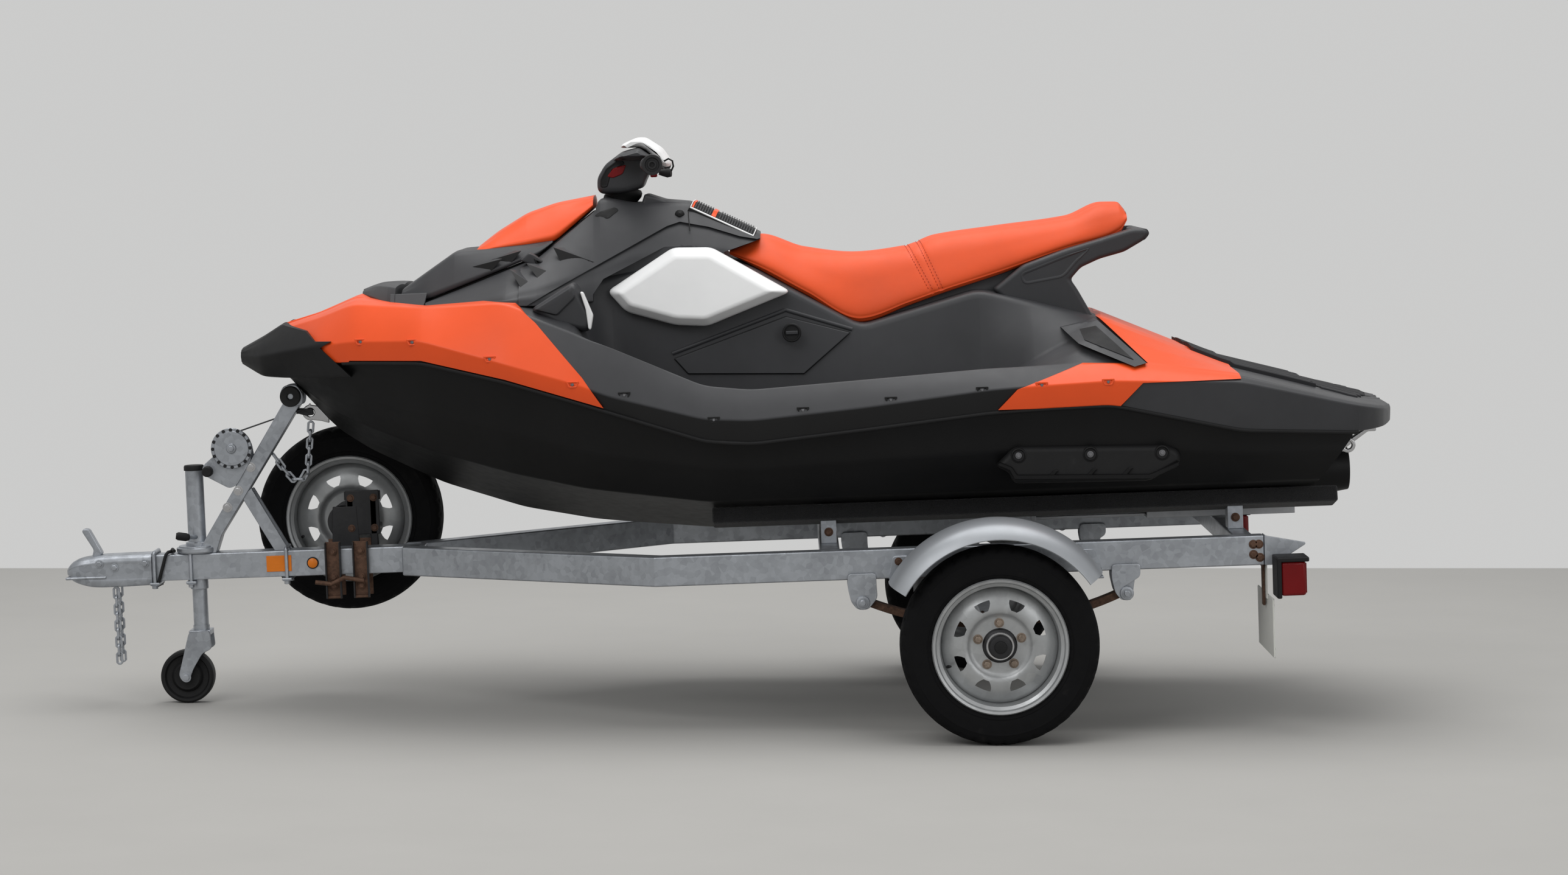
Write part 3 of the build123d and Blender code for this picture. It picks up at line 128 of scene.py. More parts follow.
def plastic(name, colour, rough, grain, depth, strength, vary=0.12, spec=0.3):
    look = Finish(name)
    look.tint(look.noise(6, 6, 0.6), (0.3, colour, 1 - vary), (0.7, colour, 1 + vary))
    look.gloss(look.noise(35, 5), rough - 0.07, rough + 0.07)
    look.bump(look.noise(grain, 3, 0.6), strength, depth)
    return look.done(Specular_IOR_Level=spec)


def metal(name, colour, rough, spangle=0.0, scale=60, metallic=0.85, vary=0.1):
    look = Finish(name)
    cloud = look.noise(9, 7, 0.62)
    if spangle:
        grey = look.add("RGBToBW", {"Color": look.cells(scale).outputs["Color"]})
        mix = look.add("Math", {0: grey.outputs["Val"], 1: spangle, 2: cloud})
        mix.operation = "MULTIPLY_ADD"
        cloud = mix.outputs["Value"]
    look.tint(cloud, (0.3, colour, 1 - 2 * vary), (0.85, colour, 1 + vary))
    look.gloss(cloud, rough + 0.1, rough - 0.08)
    look.bump(look.noise(260, 4), 0.12, 0.0004)
    return look.done(Metallic=metallic)


def rubber(name, colour, rough, dust, spec=0.25):
    look = Finish(name)
    look.tint(look.noise(14, 8, 0.66), (0.25, colour, 0.8), (0.62, colour, 1), (0.9, dust, 1))
    look.gloss(look.noise(45, 5), rough - 0.08, rough + 0.08)
    look.bump(look.noise(700, 4, 0.6), 0.35, 0.0005)
    return look.done(Specular_IOR_Level=spec)


def vinyl(name, colour):
    look = Finish(name)
    look.tint(look.noise(5, 6, 0.6), (0.3, colour, 0.9), (0.7, colour, 1.06))
    look.gloss(look.noise(40, 5), 0.42, 0.58)
    grain = look.bump(look.cells(620, "DISTANCE_TO_EDGE").outputs["Distance"], 0.3, 0.0006)
    look.bump(look.noise(30, 4), 0.15, 0.003, Normal=grain)
    return look.done(Specular_IOR_Level=0.3)


def woven(name, colour, pitch, rough=0.85, depth=0.0008):
    look = Finish(name)
    look.tint(look.noise(20, 6, 0.6), (0.3, colour, 0.7), (0.7, colour, 1.3))
    look.bump(look.cells(pitch).outputs["Distance"], 0.8, depth)
    return look.done(Roughness=rough, Sheen_Weight=0.2)


def lens(name, colour):
    look = Finish(name)
    look.tint(look.noise(12, 4), (0.3, colour, 0.85), (0.7, colour, 1.1))
    facets = look.cells(260)
    facets.distance = "CHEBYCHEV"
    facets.inputs["Randomness"].default_value = 0.0
    look.bump(facets.outputs["Distance"], 0.5, 0.001)
    return look.done(Roughness=0.24, Specular_IOR_Level=0.18, Coat_Weight=0.12)


MATS = {name: maker(name, *values) for name, maker, *values in (
    ("hull_black", plastic, (0.0042, 0.0042, 0.0045), 0.5, 420, 0.0004, 0.25, 0.2, 0.2),
    ("deck_charcoal", plastic, (0.036, 0.0366, 0.0395), 0.46, 1100, 0.0004, 0.5),
    ("orange_panel", plastic, (0.79, 0.083, 0.013), 0.4, 500, 0.0002, 0.15, 0.04),
    ("white_panel", plastic, (0.82, 0.82, 0.815), 0.4, 500, 0.0002, 0.15, 0.03),
    ("seat_vinyl", vinyl, (0.76, 0.085, 0.016)),
    ("rubber_black", rubber, (0.009, 0.009, 0.0095), 0.6, (0.022, 0.022, 0.022)),
    ("mat_black", rubber, (0.022, 0.022, 0.024), 0.75, (0.06, 0.06, 0.06)),
    ("engine_grey", metal, (0.2, 0.2, 0.21), 0.5),
    ("pump_alloy", metal, (0.42, 0.43, 0.45), 0.42, 0.1, 140, 0.9),
    ("stainless", metal, (0.56, 0.56, 0.57), 0.22, 0.0, 60, 1.0),
    ("galvanised", metal, (0.36, 0.38, 0.41), 0.42, 0.35, 70, 0.8, 0.16),
    ("rim_silver", metal, (0.4, 0.41, 0.415), 0.4, 0.18, 45, 0.6, 0.14),
    ("tyre", rubber, (0.0055, 0.0055, 0.006), 0.8, (0.024, 0.022, 0.021), 0.12),
    ("fender_silver", metal, (0.33, 0.345, 0.365), 0.42, 0.0, 60, 0.45, 0.05),
    ("carpet", woven, (0.012, 0.012, 0.013), 480, 0.95, 0.003),
    ("lamp_red", lens, (0.17, 0.002, 0.0035)),
    ("plate_white", plastic, (0.66, 0.66, 0.62), 0.45, 700, 0.0002, 0.15, 0.06),
    ("strap_web", woven, (0.03, 0.03, 0.034), 900),
    ("roller_rubber", rubber, (0.02, 0.02, 0.02), 0.55, (0.05, 0.05, 0.05)),
)}
RUST = metal("rusted_steel", (0.1, 0.052, 0.032), 0.75, 0.3, 160, 0.35, 0.35)
WORN = metal("worn_zinc", (0.24, 0.19, 0.15), 0.5, 0.3, 200, 0.7, 0.25)
DARK_STEEL = metal("dark_steel", (0.03, 0.03, 0.032), 0.5, 0.1, 120, 0.6, 0.2)
AMBER = lens("amber_lens", (0.75, 0.2, 0.015))
GRIP = rubber("grip_rubber", (0.021, 0.021, 0.022), 0.5, (0.04, 0.04, 0.04))
BAND_BLACK = plastic("band_black", (0.0075, 0.0075, 0.008), 0.5, 700, 0.0004, 0.4, 0.12, 0.25)
THREAD = vinyl("stitch_thread", (0.42, 0.04, 0.01))

# What several pieces share
BLACK = {"slot": "rubber_black"}
HULL = {"slot": "hull_black"}
ORANGE = {"slot": "orange_panel"}
WHITE = {"slot": "white_panel"}
RED = {"slot": "lamp_red"}
STEEL = {"slot": "stainless"}
ZINC = {"slot": "galvanised"}
RUSTY = {**ZINC, "mat": RUST}
DARK = {**ZINC, "mat": DARK_STEEL}
STEERED = {"body": "handlebars"}
STEERED_BLACK = {**STEERED, **BLACK}


# Pieces

def finish_piece(obj, body, slot, node=None, mat=None):
    obj.data.materials.clear()
    obj.data.materials.append(mat or MATS[slot])
    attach(obj, body)
    if node:
        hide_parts(node)


def linked(name, data):
    """A new object in the scene."""
    obj = bpy.data.objects.new(name, data)
    bpy.context.scene.collection.objects.link(obj)
    return obj


def even_shade(obj):
    even = obj.modifiers.new("shade", "WEIGHTED_NORMAL")
    even.keep_sharp = True


def sharpen(obj, angle):
    obj.data.shade_smooth()
    obj.data.set_sharp_from_angle(angle=radians(angle))
    even_shade(obj)


def soften(obj, width, angle, segments=2, clamp=False):
    bevel = obj.modifiers.new("edge", "BEVEL")
    bevel.width = width / 1000
    bevel.segments = segments
    bevel.limit_method = "ANGLE"
    bevel.angle_limit = radians(angle)
    bevel.use_clamp_overlap = clamp
    bevel.harden_normals = True
    bevel.miter_outer = "MITER_ARC"
    even_shade(obj)


def piece(name, parts, sharp=38, body=ROOT, slot="deck_charcoal", node=None, mat=None, shade=True):
    """Parts of points and faces, in level millimetres, as one object riding on a body."""
    verts, faces = [], []
    for points, loops in parts:
        base = len(verts)
        verts += points
        faces += [tuple(base + i for i in loop) for loop in loops]
    mesh = bpy.data.meshes.new(name)
    mesh.from_pydata([tuple(v) for v in verts], [], faces)
    mesh.transform(LEAN)
    bm = bmesh.new()
    bm.from_mesh(mesh)
    bmesh.ops.remove_doubles(bm, verts=bm.verts, dist=WELD)
    bmesh.ops.recalc_face_normals(bm, faces=bm.faces)
    bm.to_mesh(mesh)
    bm.free()
    mesh.shade_smooth()
    obj = linked(name, mesh)
    if body:
        finish_piece(obj, body, slot, node, mat)
    if shade:
        sharpen(obj, sharp)
    return obj


# Lines and sections

def table_of(rows):
    """A table's first column, its other columns, and the run that a value of the first lies in."""
    xs = [row[0] for row in rows]
    columns = list(zip(*[row[1:] for row in rows]))
    return xs, columns, lambda x: min(max(bisect_right(xs, x) - 1, 0), len(xs) - 2)


def flowing(rows):
    """Each column of a table as a smooth line over its first column: x -> the other values."""
    xs, columns, run_at = table_of(rows)
    slopes = []
    for ys in columns:
        steps = [(ys[i + 1] - ys[i]) / (xs[i + 1] - xs[i]) for i in range(len(xs) - 1)]
        inner = [0 if a * b <= 0 else 2 * a * b / (a + b) for a, b in zip(steps, steps[1:])]
        slopes.append([steps[0], *inner, steps[-1]])

    def at(x):
        i = run_at(x)
        h = xs[i + 1] - xs[i]
        t = (x - xs[i]) / h
        a, b, c, d = 2 * t**3 - 3 * t**2 + 1, t**3 - 2 * t**2 + t, 3 * t**2 - 2 * t**3, t**3 - t**2
        return [a * ys[i] + b * h * m[i] + c * ys[i + 1] + d * h * m[i + 1] for ys, m in zip(columns, slopes)]

    return at


def angular(rows, ease):
    """Each column of a table as straight runs over its first column, eased for a little at the stations."""
    xs, columns, run_at = table_of(rows)

    def straight(x):
        i = run_at(x)
        t = (x - xs[i]) / (xs[i + 1] - xs[i])
        return [ys[i] + (ys[i + 1] - ys[i]) * t for ys in columns]

    def at(x):
        near = [straight(x + ease * k / 3) for k in range(-3, 4)]
        return [sum(values) / len(near) for values in zip(*near)]

    return at


def spread(low, high, step, extra=()):
    """Stations from low to high, about a step apart, with some exact ones added."""
    count = max(1, ceil((high - low) / step))
    even = [low + (high - low) * i / count for i in range(count + 1)]
    return sorted({round(x, 3) for x in [*even, *[e for e in extra if low < e < high]]})


def corner(points, i, radius, most, steps):
    """The bend at a point, reaching back by a radius and at most by a share of each run."""
    p = Vector(points[i])
    ends = []
    for other in (points[i - 1], points[(i + 1) % len(points)]):
        run = Vector(other) - p
        ends.append(p + run * min(most, radius / max(run.length, TINY)))
    start, end = ends
    return [start.lerp(p, t).lerp(p.lerp(end, t), t) for t in [k / steps for k in range(steps + 1)]]


def rounded(points, radius):
    """A closed outline with its corners rounded."""
    return [p for i in range(len(points)) for p in corner(points, i, radius, 0.42, 4)]


def eased(points, radii, bulges=None, steps=4):
    """An open path with each inner corner rounded and each run bowed outwards by its bulge."""
    bulges = bulges or [0] * (len(points) - 1)
    bends = [corner(points, i + 1, radius, 0.45, steps) for i, radius in enumerate(radii)]
    chain = [[Vector(points[0])], *bends, [Vector(points[-1])]]
    path = []
    for i, group in enumerate(chain):
        path.extend(group)
        if i < len(chain) - 1 and bulges[i]:
            a, b = group[-1], chain[i + 1][0]
            run = b - a
            out = Vector((run.y, -run.x)).normalized() if run.length > TINY else Vector((0, 0))
            for t in (0.2, 0.4, 0.6, 0.8):
                path.append(a + run * t + out * bulges[i] * 4 * t * (1 - t))
    return path


def inset(points, depth):
    """A closed outline drawn in by a depth."""
    n = len(points)
    area = sum(points[i - 1][0] * points[i][1] - points[i][0] * points[i - 1][1] for i in range(n))
    side = 1 if area > 0 else -1
    out = []
    for i in range(n):
        p = Vector(points[i])
        a = (p - Vector(points[i - 1])).normalized()
        b = (Vector(points[(i + 1) % n]) - p).normalized()
        na, nb = Vector((-a.y, a.x)) * side, Vector((-b.y, b.x)) * side
        out.append(p + (na + nb) * depth / max(0.35, 1 + na.dot(nb)))
    return out


def circle(count):
    return [(cos(2 * pi * k / count), sin(2 * pi * k / count)) for k in range(count)]


# Surfaces

def loop_faces(count, size, caps=True):
    faces = []
    for i in range(count - 1):
        for j in range(size):
            k = (j + 1) % size
            faces.append((i * size + j, i * size + k, (i + 1) * size + k, (i + 1) * size + j))
    if caps:
        faces.append(tuple(reversed(range(size))))
        faces.append(tuple((count - 1) * size + j for j in range(size)))
    return faces


def joined(rings):
    """Equal rings of points joined one to the next and capped, as points and faces."""
    return [p for ring in rings for p in ring], loop_faces(len(rings), len(rings[0]))


def ringed(rings):
    """Equal rings of points joined all the way round, as points and faces."""
    points = [p for ring in rings for p in ring]
    faces = loop_faces(len(rings) + 1, len(rings[0]), caps=False)
    return points, [tuple(i % len(points) for i in face) for face in faces]


def twins(rings):
    """Rings of one side joined, and the same on the other side, as two parts."""
    return [joined([[(x, side * y, z) for x, y, z in ring] for ring in rings]) for side in (-1, 1)]


def lofted(name, xs, half, **how):
    """A closed body through upright sections, each given by its +y half from the bottom to the top."""
    rings = []
    for x in xs:
        path = half(x)
        ring = [(x, -p[0], p[1]) for p in path]
        rings.append(ring + [(x, p[0], p[1]) for p in reversed(path) if p[0] > TINY])
    return piece(name, [joined(rings)], **how)


def section_half(table, radii, bulges):
    """Half sections from a table of a low, a middle and a top corner at each station."""
    at = angular(table, 12)

    def half(x):
        low_b, low_z, mid_b, mid_z, top_b, top_z = at(x)
        points = [(0, low_z), (low_b, low_z), (mid_b, mid_z), (top_b, top_z), (0, top_z)]
        return eased(points, radii, bulges)

    return half


def sectioned(name, table, step, radii, bulges=(0, 0, 0, 0), **how):
    """A closed body through a table of sections."""
    xs = spread(table[0][0], table[-1][0], step, [row[0] for row in table])
    return lofted(name, xs, section_half(table, radii, bulges), **how)


def prism(points, far, near=None):
    """A cutting body: a side-view outline carried across, or from near to far on both sides."""
    spans = [(-far, far)] if near is None else [(-far, -near), (near, far)]
    parts = [joined([[(x, y, z) for x, z in points] for y in ends]) for ends in spans]
    return piece("tool", parts, body=None, shade=False)


def plan_prism(points, low, high):
    """A cutting body: a plan outline of the port side and its twin, carried upwards."""
    ring = [*points, *[(x, -y) for x, y in reversed(points)]]
    parts = [joined([[(x, y, z) for x, y in ring] for z in (low, high)])]
    return piece("tool", parts, body=None, shade=False)


def carved(obj, *tools, within=None, sharp=30, edge=None):
    """Keeps what is within one cutting body, takes the others away and rounds the edges if asked to."""
    cuts = [("DIFFERENCE", tool) for tool in tools]
    if within:
        cuts.insert(0, ("INTERSECT", within))
    for way, tool in cuts:
        obj.modifiers.clear()
        cut = obj.modifiers.new("cut", "BOOLEAN")
        cut.operation = way
        cut.solver = "EXACT"
        cut.object = tool
        graph = bpy.context.evaluated_depsgraph_get()
        mesh = bpy.data.meshes.new_from_object(obj.evaluated_get(graph))
        obj.modifiers.clear()
        obj.data = mesh
        bpy.data.objects.remove(tool)
    sharpen(obj, sharp)
    if edge:
        obj.modifiers.clear()
        soften(obj, *edge, clamp=True)


def raised(outline, rings, radius):
    """Rings of a side-view outline with rounded corners, each drawn in by a depth and at its own y."""
    return [
        [(p[0], y, p[1]) for p in rounded(inset(outline, depth), max(1.0, radius - depth * 0.4))]
        for depth, y in rings
    ]


def relief(name, outline, rings, radius, **how):
    """A moulded boss on one side and its twin, from (depth, y) rings of a side-view outline."""
    return piece(name, twins(raised(outline, rings, radius)), **how)


def across(name, outline, rings, radius, **how):
    """A moulded body from side to side, from (depth, y) rings of its one end."""
    rings = [*rings, *[(depth, -y) for depth, y in reversed(rings)]]
    piece(name, [joined(raised(outline, rings, radius))], **how)


def rod(path, radius, sides):
    """A round bar along a path, with one radius or one at each point, as points and faces."""
    path = [Vector(p) for p in path]
    radii = radius if isinstance(radius, list) else [radius] * len(path)
    rings = []
    for i, (p, r) in enumerate(zip(path, radii)):
        way = (path[min(i + 1, len(path) - 1)] - path[max(i - 1, 0)]).normalized()
        across = way.orthogonal().normalized() if i == 0 else (across - way * across.dot(way)).normalized()
        up = way.cross(across)
        rings.append([p + across * r * a + up * r * b for a, b in circle(sides)])
    return joined(rings)


def tube(name, points, radius, sides=12, **how):
    piece(name, [rod(points, radius, sides)], **how)


def twin_tube(name, points, radius, sides, **how):
    twin = [(x, -y, z) for x, y, z in points]
    piece(name, [rod(path, radius, sides) for path in (points, twin)], **how)


def turned(name, spots, profile, axis="y", steps=24, side=1, **how):
    """Turned pieces at several spots, from (along, radius) points about an axis, along it or against it."""
    at = "xyz".index(axis)

    def ring(spot, along, radius):
        points = [[radius * a, radius * b] for a, b in circle(steps)]
        for point in points:
            point.insert(at, side * along)
        return [Vector(spot) + Vector(point) for point in points]

    return piece(name, [joined([ring(spot, *row) for row in profile]) for spot in spots], **how)


BOX = ((0, 1, 3, 2), (4, 6, 7, 5), (0, 4, 5, 1), (2, 3, 7, 6), (0, 2, 6, 4), (1, 5, 7, 3))


def boxes(name, items, width=1.5, **how):
    """Boxes with rounded edges from (x, y, z) low and high pairs."""
    parts = [([(x, y, z) for x in xs for y in ys for z in zs], BOX) for xs, ys, zs in items]
    soften(piece(name, parts, shade=False, **how), width, 40)


def reach(side, near, far):
    """The low and the high end of a reach out to one side."""
    return tuple(sorted((side * near, side * far)))


WASHER = ((0, 1.45), (1.2, 1.45), (1.6, 1.3))


def bolts(name, spots, radius, height, out=(0, -1, 0), **how):
    """Hexagon heads on washers, standing out from their spots."""
    turn = Vector(out).normalized().to_track_quat("Z", "Y").to_matrix()
    head = ((1.6, 1.0), (height, 1.0), (height + 0.8, 0.82))
    parts = []
    for spot in spots:
        for group, count in ((WASHER, 20), (head, 6)):
            rings = []
            for along, share in group:
                r = radius * share
                rings.append([Vector(spot) + turn @ Vector((r * a, r * b, along)) for a, b in circle(count)])
            parts.append(joined(rings))
    piece(name, parts, sharp=30, **how)


def side_bolts(name, y, spots, radius, height, ends=("_left", "_right"), **how):
    """The same bolts on both sides, at (x, z) spots."""
    for side, end in zip((-1, 1), ends):
        bolts(name + end, [(x, side * y, z) for x, z in spots], radius, height, (0, side, 0), **how)


NEAR_FAR = ("", "_far")


# Hull and deck lines: keel, chine, flare, seam, band, rim, foot, step and top at each station
FLAT = (502, 468, 615)
OFFSETS = [
    (-1840, 945, 45, 952, 100, 966, 150, 985, 160, 1020, 120, 1072, 90, 1078, 60, 1081, 30, 1083),
    (-1720, 806, 150, 872, 235, 930, 300, 996, 312, 1042, 235, 1105, 190, 1112, 130, 1116, 80, 1118),
    (-1630, 745, 215, 830, 305, 906, 370, 1001, 383, 1054, 300, 1138, 240, 1148, 170, 1152, 110, 1154),
    (-1440, 649, 325, 762, 410, 858, 476, 999, 490, 1055, 415, 1128, 340, 1132, 260, 1134, 200, 1136),
    (-1225, 575, 405, 702, 485, 808, 540, 947, 555, 992, 468, 1135, 400, 1142, 320, 1147, 240, 1150),
    (-1040, 537, 442, 660, 522, 757, 562, 888, 577, 934, 512, 1058, 430, 1090, 340, 1110, 240, 1180),
    (-960, 527, 450, 648, 528, 742, 567, 861, 582, 902, 520, 1028, 475, 876, 252, 876, 236, 1195),
    (-720, *FLAT, 538, 702, 575, 780, 590, 836, 536, 920, 482, 795, 250, 795, 226, 1236),
    (-600, *FLAT, 540, 695, 575, 770, 591, 829, 538, 906, 482, 786, 248, 786, 220, 1205),
    (-310, *FLAT, 542, 708, 578, 796, 592, 852, 536, 921, 480, 812, 246, 812, 205, 1040),
    (0, *FLAT, 545, 720, 580, 826, 593, 884, 530, 937, 472, 842, 262, 842, 222, 1122),
    (130, *FLAT, 545, 722, 580, 831, 592, 890, 520, 938, 470, 925, 350, 940, 240, 1090),
    (310, *FLAT, 544, 720, 577, 834, 588, 896, 515, 938, 440, 990, 345, 1030, 240, 1040),
    (640, *FLAT, 532, 690, 558, 757, 570, 880, 525, 890, 440, 892, 340, 894, 220, 896),
    (940, *FLAT, 500, 680, 515, 738, 528, 806, 480, 808, 400, 810, 300, 811.5, 200, 812),
    (1022, *FLAT, 420, 686, 425, 742, 436, 788, 388, 790, 312, 791.5, 212, 792.5, 112, 793),
    (1062, *FLAT, 250, 690, 255, 744, 266, 780, 220, 782, 170, 783.5, 110, 784.5, 60, 785),
]
STATIONS = [row[0] for row in OFFSETS]
lines_at = angular(OFFSETS, 24)


def hull_half(x):
    keel, chine_b, chine_z, flare_b, flare_z, seam_b, seam_z = lines_at(x)[:7]
    points = [(0, keel), (chine_b, chine_z), (flare_b, flare_z), (seam_b, seam_z), (0, seam_z)]
    return eased(points, (9, 12, 5), (-5, 3, -3, 0))


def deck_half(x, grow=0.0):
    sb, sz, bb, bz, rb, rz, fb, fz, stb, stz, tb, tz = lines_at(x)[5:]
    points = [
        (0, sz), (sb + grow, sz), (bb + grow, bz), (rb, rz + grow), (fb, fz + grow),
        (stb + grow, stz + grow), (tb + grow, tz + grow), (0, tz + grow),
    ]
    return eased(points, (4, 5, 8, 10, 12, 20), (0, 1, 3, 0, 0, 3, 5))


TUNNEL = [(120, 430), (120, 501), (421, 688), (421, 704.5), (990, 704.5), (990, 430)]
TRANSOM = [(926, 930), (926, 726), (846, 616), (831, 390), (1210, 390), (1210, 930)]
BIN = [(-1400, 1030), (-1400, 1300), (-1190, 1300), (-1190, 1030)]
BIN_HALF = 140
hull = lofted("hull_shell", spread(-1840, 940, 20, STATIONS), hull_half, node="hull", **HULL)
carved(hull, prism(TUNNEL, 127.6), prism(TRANSOM, 720), sharp=24)
deck = lofted("deck_shell", spread(-1840, 645, 15, STATIONS), deck_half, node="deck")
carved(deck, prism(BIN, BIN_HALF))


def deck_skin(name, outline, grow, low, high, *cuts, edge=2.5, **how):
    """A panel standing proud of the deck inside a side-view outline."""
    panel = lofted(name, spread(low, high, 15, STATIONS), lambda x: deck_half(x, grow), **how)
    carved(panel, *cuts, within=prism(outline, 800), edge=(edge, 40))


BUMPER_REAR = [(-1836, 1096), (-1759, 1080), (-1730, 1054), (-1684, 1055), (-1715, 1038), (-1653, 980)]
BOW_SIDE = [
    *BUMPER_REAR, (-1635, 1005), (-1440, 1004), (-1225, 952), (-1040, 893), (-975, 872), (-1026, 950),
    (-1143, 1090), (-1198, 1140), (-1283, 1147), (-1440, 1137), (-1600, 1156), (-1632, 1166), (-1753, 1118),
]
LID_ROOM = [(-900, -290), (-1470, -290), (-1530, -264), (-1622, -52)]
STERN_SIDE = [
    (22, 832), (72, 882), (244, 939), (410, 932), (306, 1042), (330, 1050), (530, 962), (640, 910),
    (640, 887), (389, 887), (331, 830),
]
VENT = [(205, 1022), (296, 1040), (404, 934), (372, 927), (240, 985)]
VENT_MOUTH = [(250, 1018), (290, 1026), (372, 944), (256, 994)]
PLATFORM = [(330, 826), (389, 886), (640, 886), (660, 1000), (1100, 1000), (1100, 600), (330, 600)]
PANEL_RISE = 9
PLATFORM_RISE = 4
lid_room = plan_prism(LID_ROOM, 1100, 1400)
deck_skin("bow_side_panels", BOW_SIDE, PANEL_RISE, -1840, -940, lid_room, node="bow_panel", **ORANGE)
deck_skin("stern_side_panels", STERN_SIDE, PANEL_RISE, 0, 645, node="stern_panels", **ORANGE)
deck_skin("stern_vent_blades", VENT, 20, 150, 450, node="stern_vents")
deck_skin("stern_vent_mouths", VENT_MOUTH, 22, 150, 450, **BLACK)
deck_skin("swim_platform", PLATFORM, PLATFORM_RISE, 300, 1062, edge=4, node="stern_platform")

BUMPER = [
    (-1954, 80, 990, 110, 1012, 90, 1030), (-1890, 165, 960, 210, 1015, 150, 1062),
    (-1833, 190, 956, 262, 1025, 170, 1096), (-1720, 300, 958, 332, 1045, 230, 1128),
    (-1625, 370, 960, 404, 1060, 300, 1165),
]
BUMPER_SIDE = [(-2000, 930), (-2000, 1110), (-1838, 1110), *BUMPER_REAR, (-1635, 962), (-1660, 940)]
bumper = sectioned("bow_fender", BUMPER, 12, (12, 12, 12), (4, 3, 3, 4), node="bow_bumper", **BLACK)
carved(bumper, within=prism(BUMPER_SIDE, 600), edge=(4, 40, 3))

# Storage lid, its hood, and the console behind them
LID = [
    (-1510, 205, 1156, 215, 1160, 185, 1176), (-1440, 238, 1150, 240, 1165, 200, 1222),
    (-1367, 246, 1176, 248, 1190, 190, 1270), (-1300, 244, 1200, 246, 1212, 184, 1273),
    (-1146, 222, 1256, 224, 1264, 176, 1288), (-1110, 205, 1285, 207, 1287, 176, 1291),
]
HOOD = [
    (-1312, 150, 1264, 165, 1268, 120, 1277), (-1262, 160, 1266, 172, 1279, 105, 1314),
    (-1182, 168, 1272, 178, 1290, 92, 1360), (-1105, 165, 1288, 172, 1304, 88, 1384),
    (-1004, 120, 1372, 128, 1380, 80, 1400),
]
CONSOLE = [
    (-1442, 335, 1122, 300, 1136, 246, 1144), (-1225, 425, 1132, 400, 1160, 246, 1221),
    (-1146, 408, 1128, 375, 1172, 230, 1250), (-1000, 300, 1130, 262, 1210, 135, 1368),
    (-985, 292, 1132, 258, 1213, 134, 1392), (-900, 250, 1180, 240, 1245, 130, 1374),
    (-742, 236, 1200, 228, 1262, 128, 1370), (-566, 190, 1205, 186, 1240, 130, 1282),
]
HINGE = [
    (-1630, 40, 1146, 52, 1165, 34, 1172), (-1588, 136, 1140, 158, 1158, 112, 1187),
    (-1545, 232, 1126, 256, 1143, 206, 1187), (-1522, 256, 1118, 281, 1135, 238, 1184),
]
LID_EASE = ((5, 8, 16), (0, 0, 2, 4))
CONSOLE_EASE = ((10, 16, 16), (0, 3, 4, 3))
sectioned("storage_lid_shell", LID, 10, *LID_EASE, body="lid", node="storage_lid", sharp=34)
sectioned("lid_hood", HOOD, 10, (5, 9, 16), (0, 0, 3, 4), body="lid", node="hood_panel", sharp=34, **ORANGE)
sectioned("lid_hinge_cover", HINGE, 8, (4, 6, 8), (0, 0, 2, 4), node="hinge_cover", sharp=34)
console = sectioned("console_shell", CONSOLE, 10, *CONSOLE_EASE, node="console", sharp=34)
LID_SWING = [
    (-1500, 1130), (-1460, 1130), (-1440, 1144), (-1146, 1249), (-996, 1366), (-996, 1600), (-1500, 1600),
]
SEAT_FRONT = [(-668, 1100), (-668, 1243), (-566, 1274), (-500, 1274), (-500, 1100)]
KNEE_ARCH = [
    (-1008, 1000), (-1004, 1150), (-977, 1188), (-805, 1270), (-747, 1278), (-657, 1240), (-569, 1271),
    (-540, 1271), (-540, 1000),
]
carved(
    console, prism(LID_SWING, 600), prism(SEAT_FRONT, 400), prism(BIN, BIN_HALF), prism(KNEE_ARCH, 500, 224),
    edge=(3, 42),
)

# Cheeks beside the lid, carrying the hinge cover's slanted face back
CHEEK = [(249, 1116), (276, 1116), (282, 1134), (253, 1168), (249, 1168)]
CHEEK_LEANS = ((-1536, 0.0), (-1490, 0.1), (-1450, 0.22))
cheeks = twins([[(x + lean * (z - CHEEK[0][1]), y, z) for y, z in CHEEK] for x, lean in CHEEK_LEANS])
soften(piece("hinge_cheeks", cheeks, sharp=24), 2, 24)

# Rubber seal between the lid and the console
SEAL = [(x, y, low, y, low + 6, y, top) for x, y, low, top in (
    (-1444, 222, 1134, 1147), (-1300, 228, 1188, 1199), (-1146, 206, 1243, 1254), (-1110, 180, 1270, 1281),
    (-1004, 106, 1352, 1364),
)]
sectioned("lid_seal", SEAL, 12, (2, 2, 2), **BLACK)

# Knee pads with their outer faces leaning in, spray deflectors, sponsons
PAD = [(-969, 1155), (-795, 1262), (-694, 1259), (-491, 1136), (-712, 1055), (-794, 1061), (-922, 1100)]
PAD_RINGS = [(0, 205), (0, 254), (1.5, 260), (5, 265), (18, 284), (22, 287.5), (27, 289), (31, 289.5)]
PAD_LEAN = 0.62
PAD_FACE = 0.25
knee_pads = relief("knee_pad_mouldings", PAD, PAD_RINGS, 16, node="knee_pads", sharp=50, **WHITE)
pad_points = knee_pads.data.vertices
pad_middle = sum(v.co.z for v in pad_points) / len(pad_points)
for vertex in pad_points:
    if abs(vertex.co.y) > PAD_FACE:
        vertex.co.y *= 1 + PAD_LEAN * (pad_middle - vertex.co.z)
DEFLECTOR = [(-1160, 1122), (-1044, 1191), (-1000, 1099), (-1010, 1057), (-1096, 1080)]
DEFLECTOR_RINGS = [(0, 350), (0, 436), (3, 446), (9, 452), (16, 455)]
relief("spray_deflectors", DEFLECTOR, DEFLECTOR_RINGS, 18, node="deflectors", sharp=50)
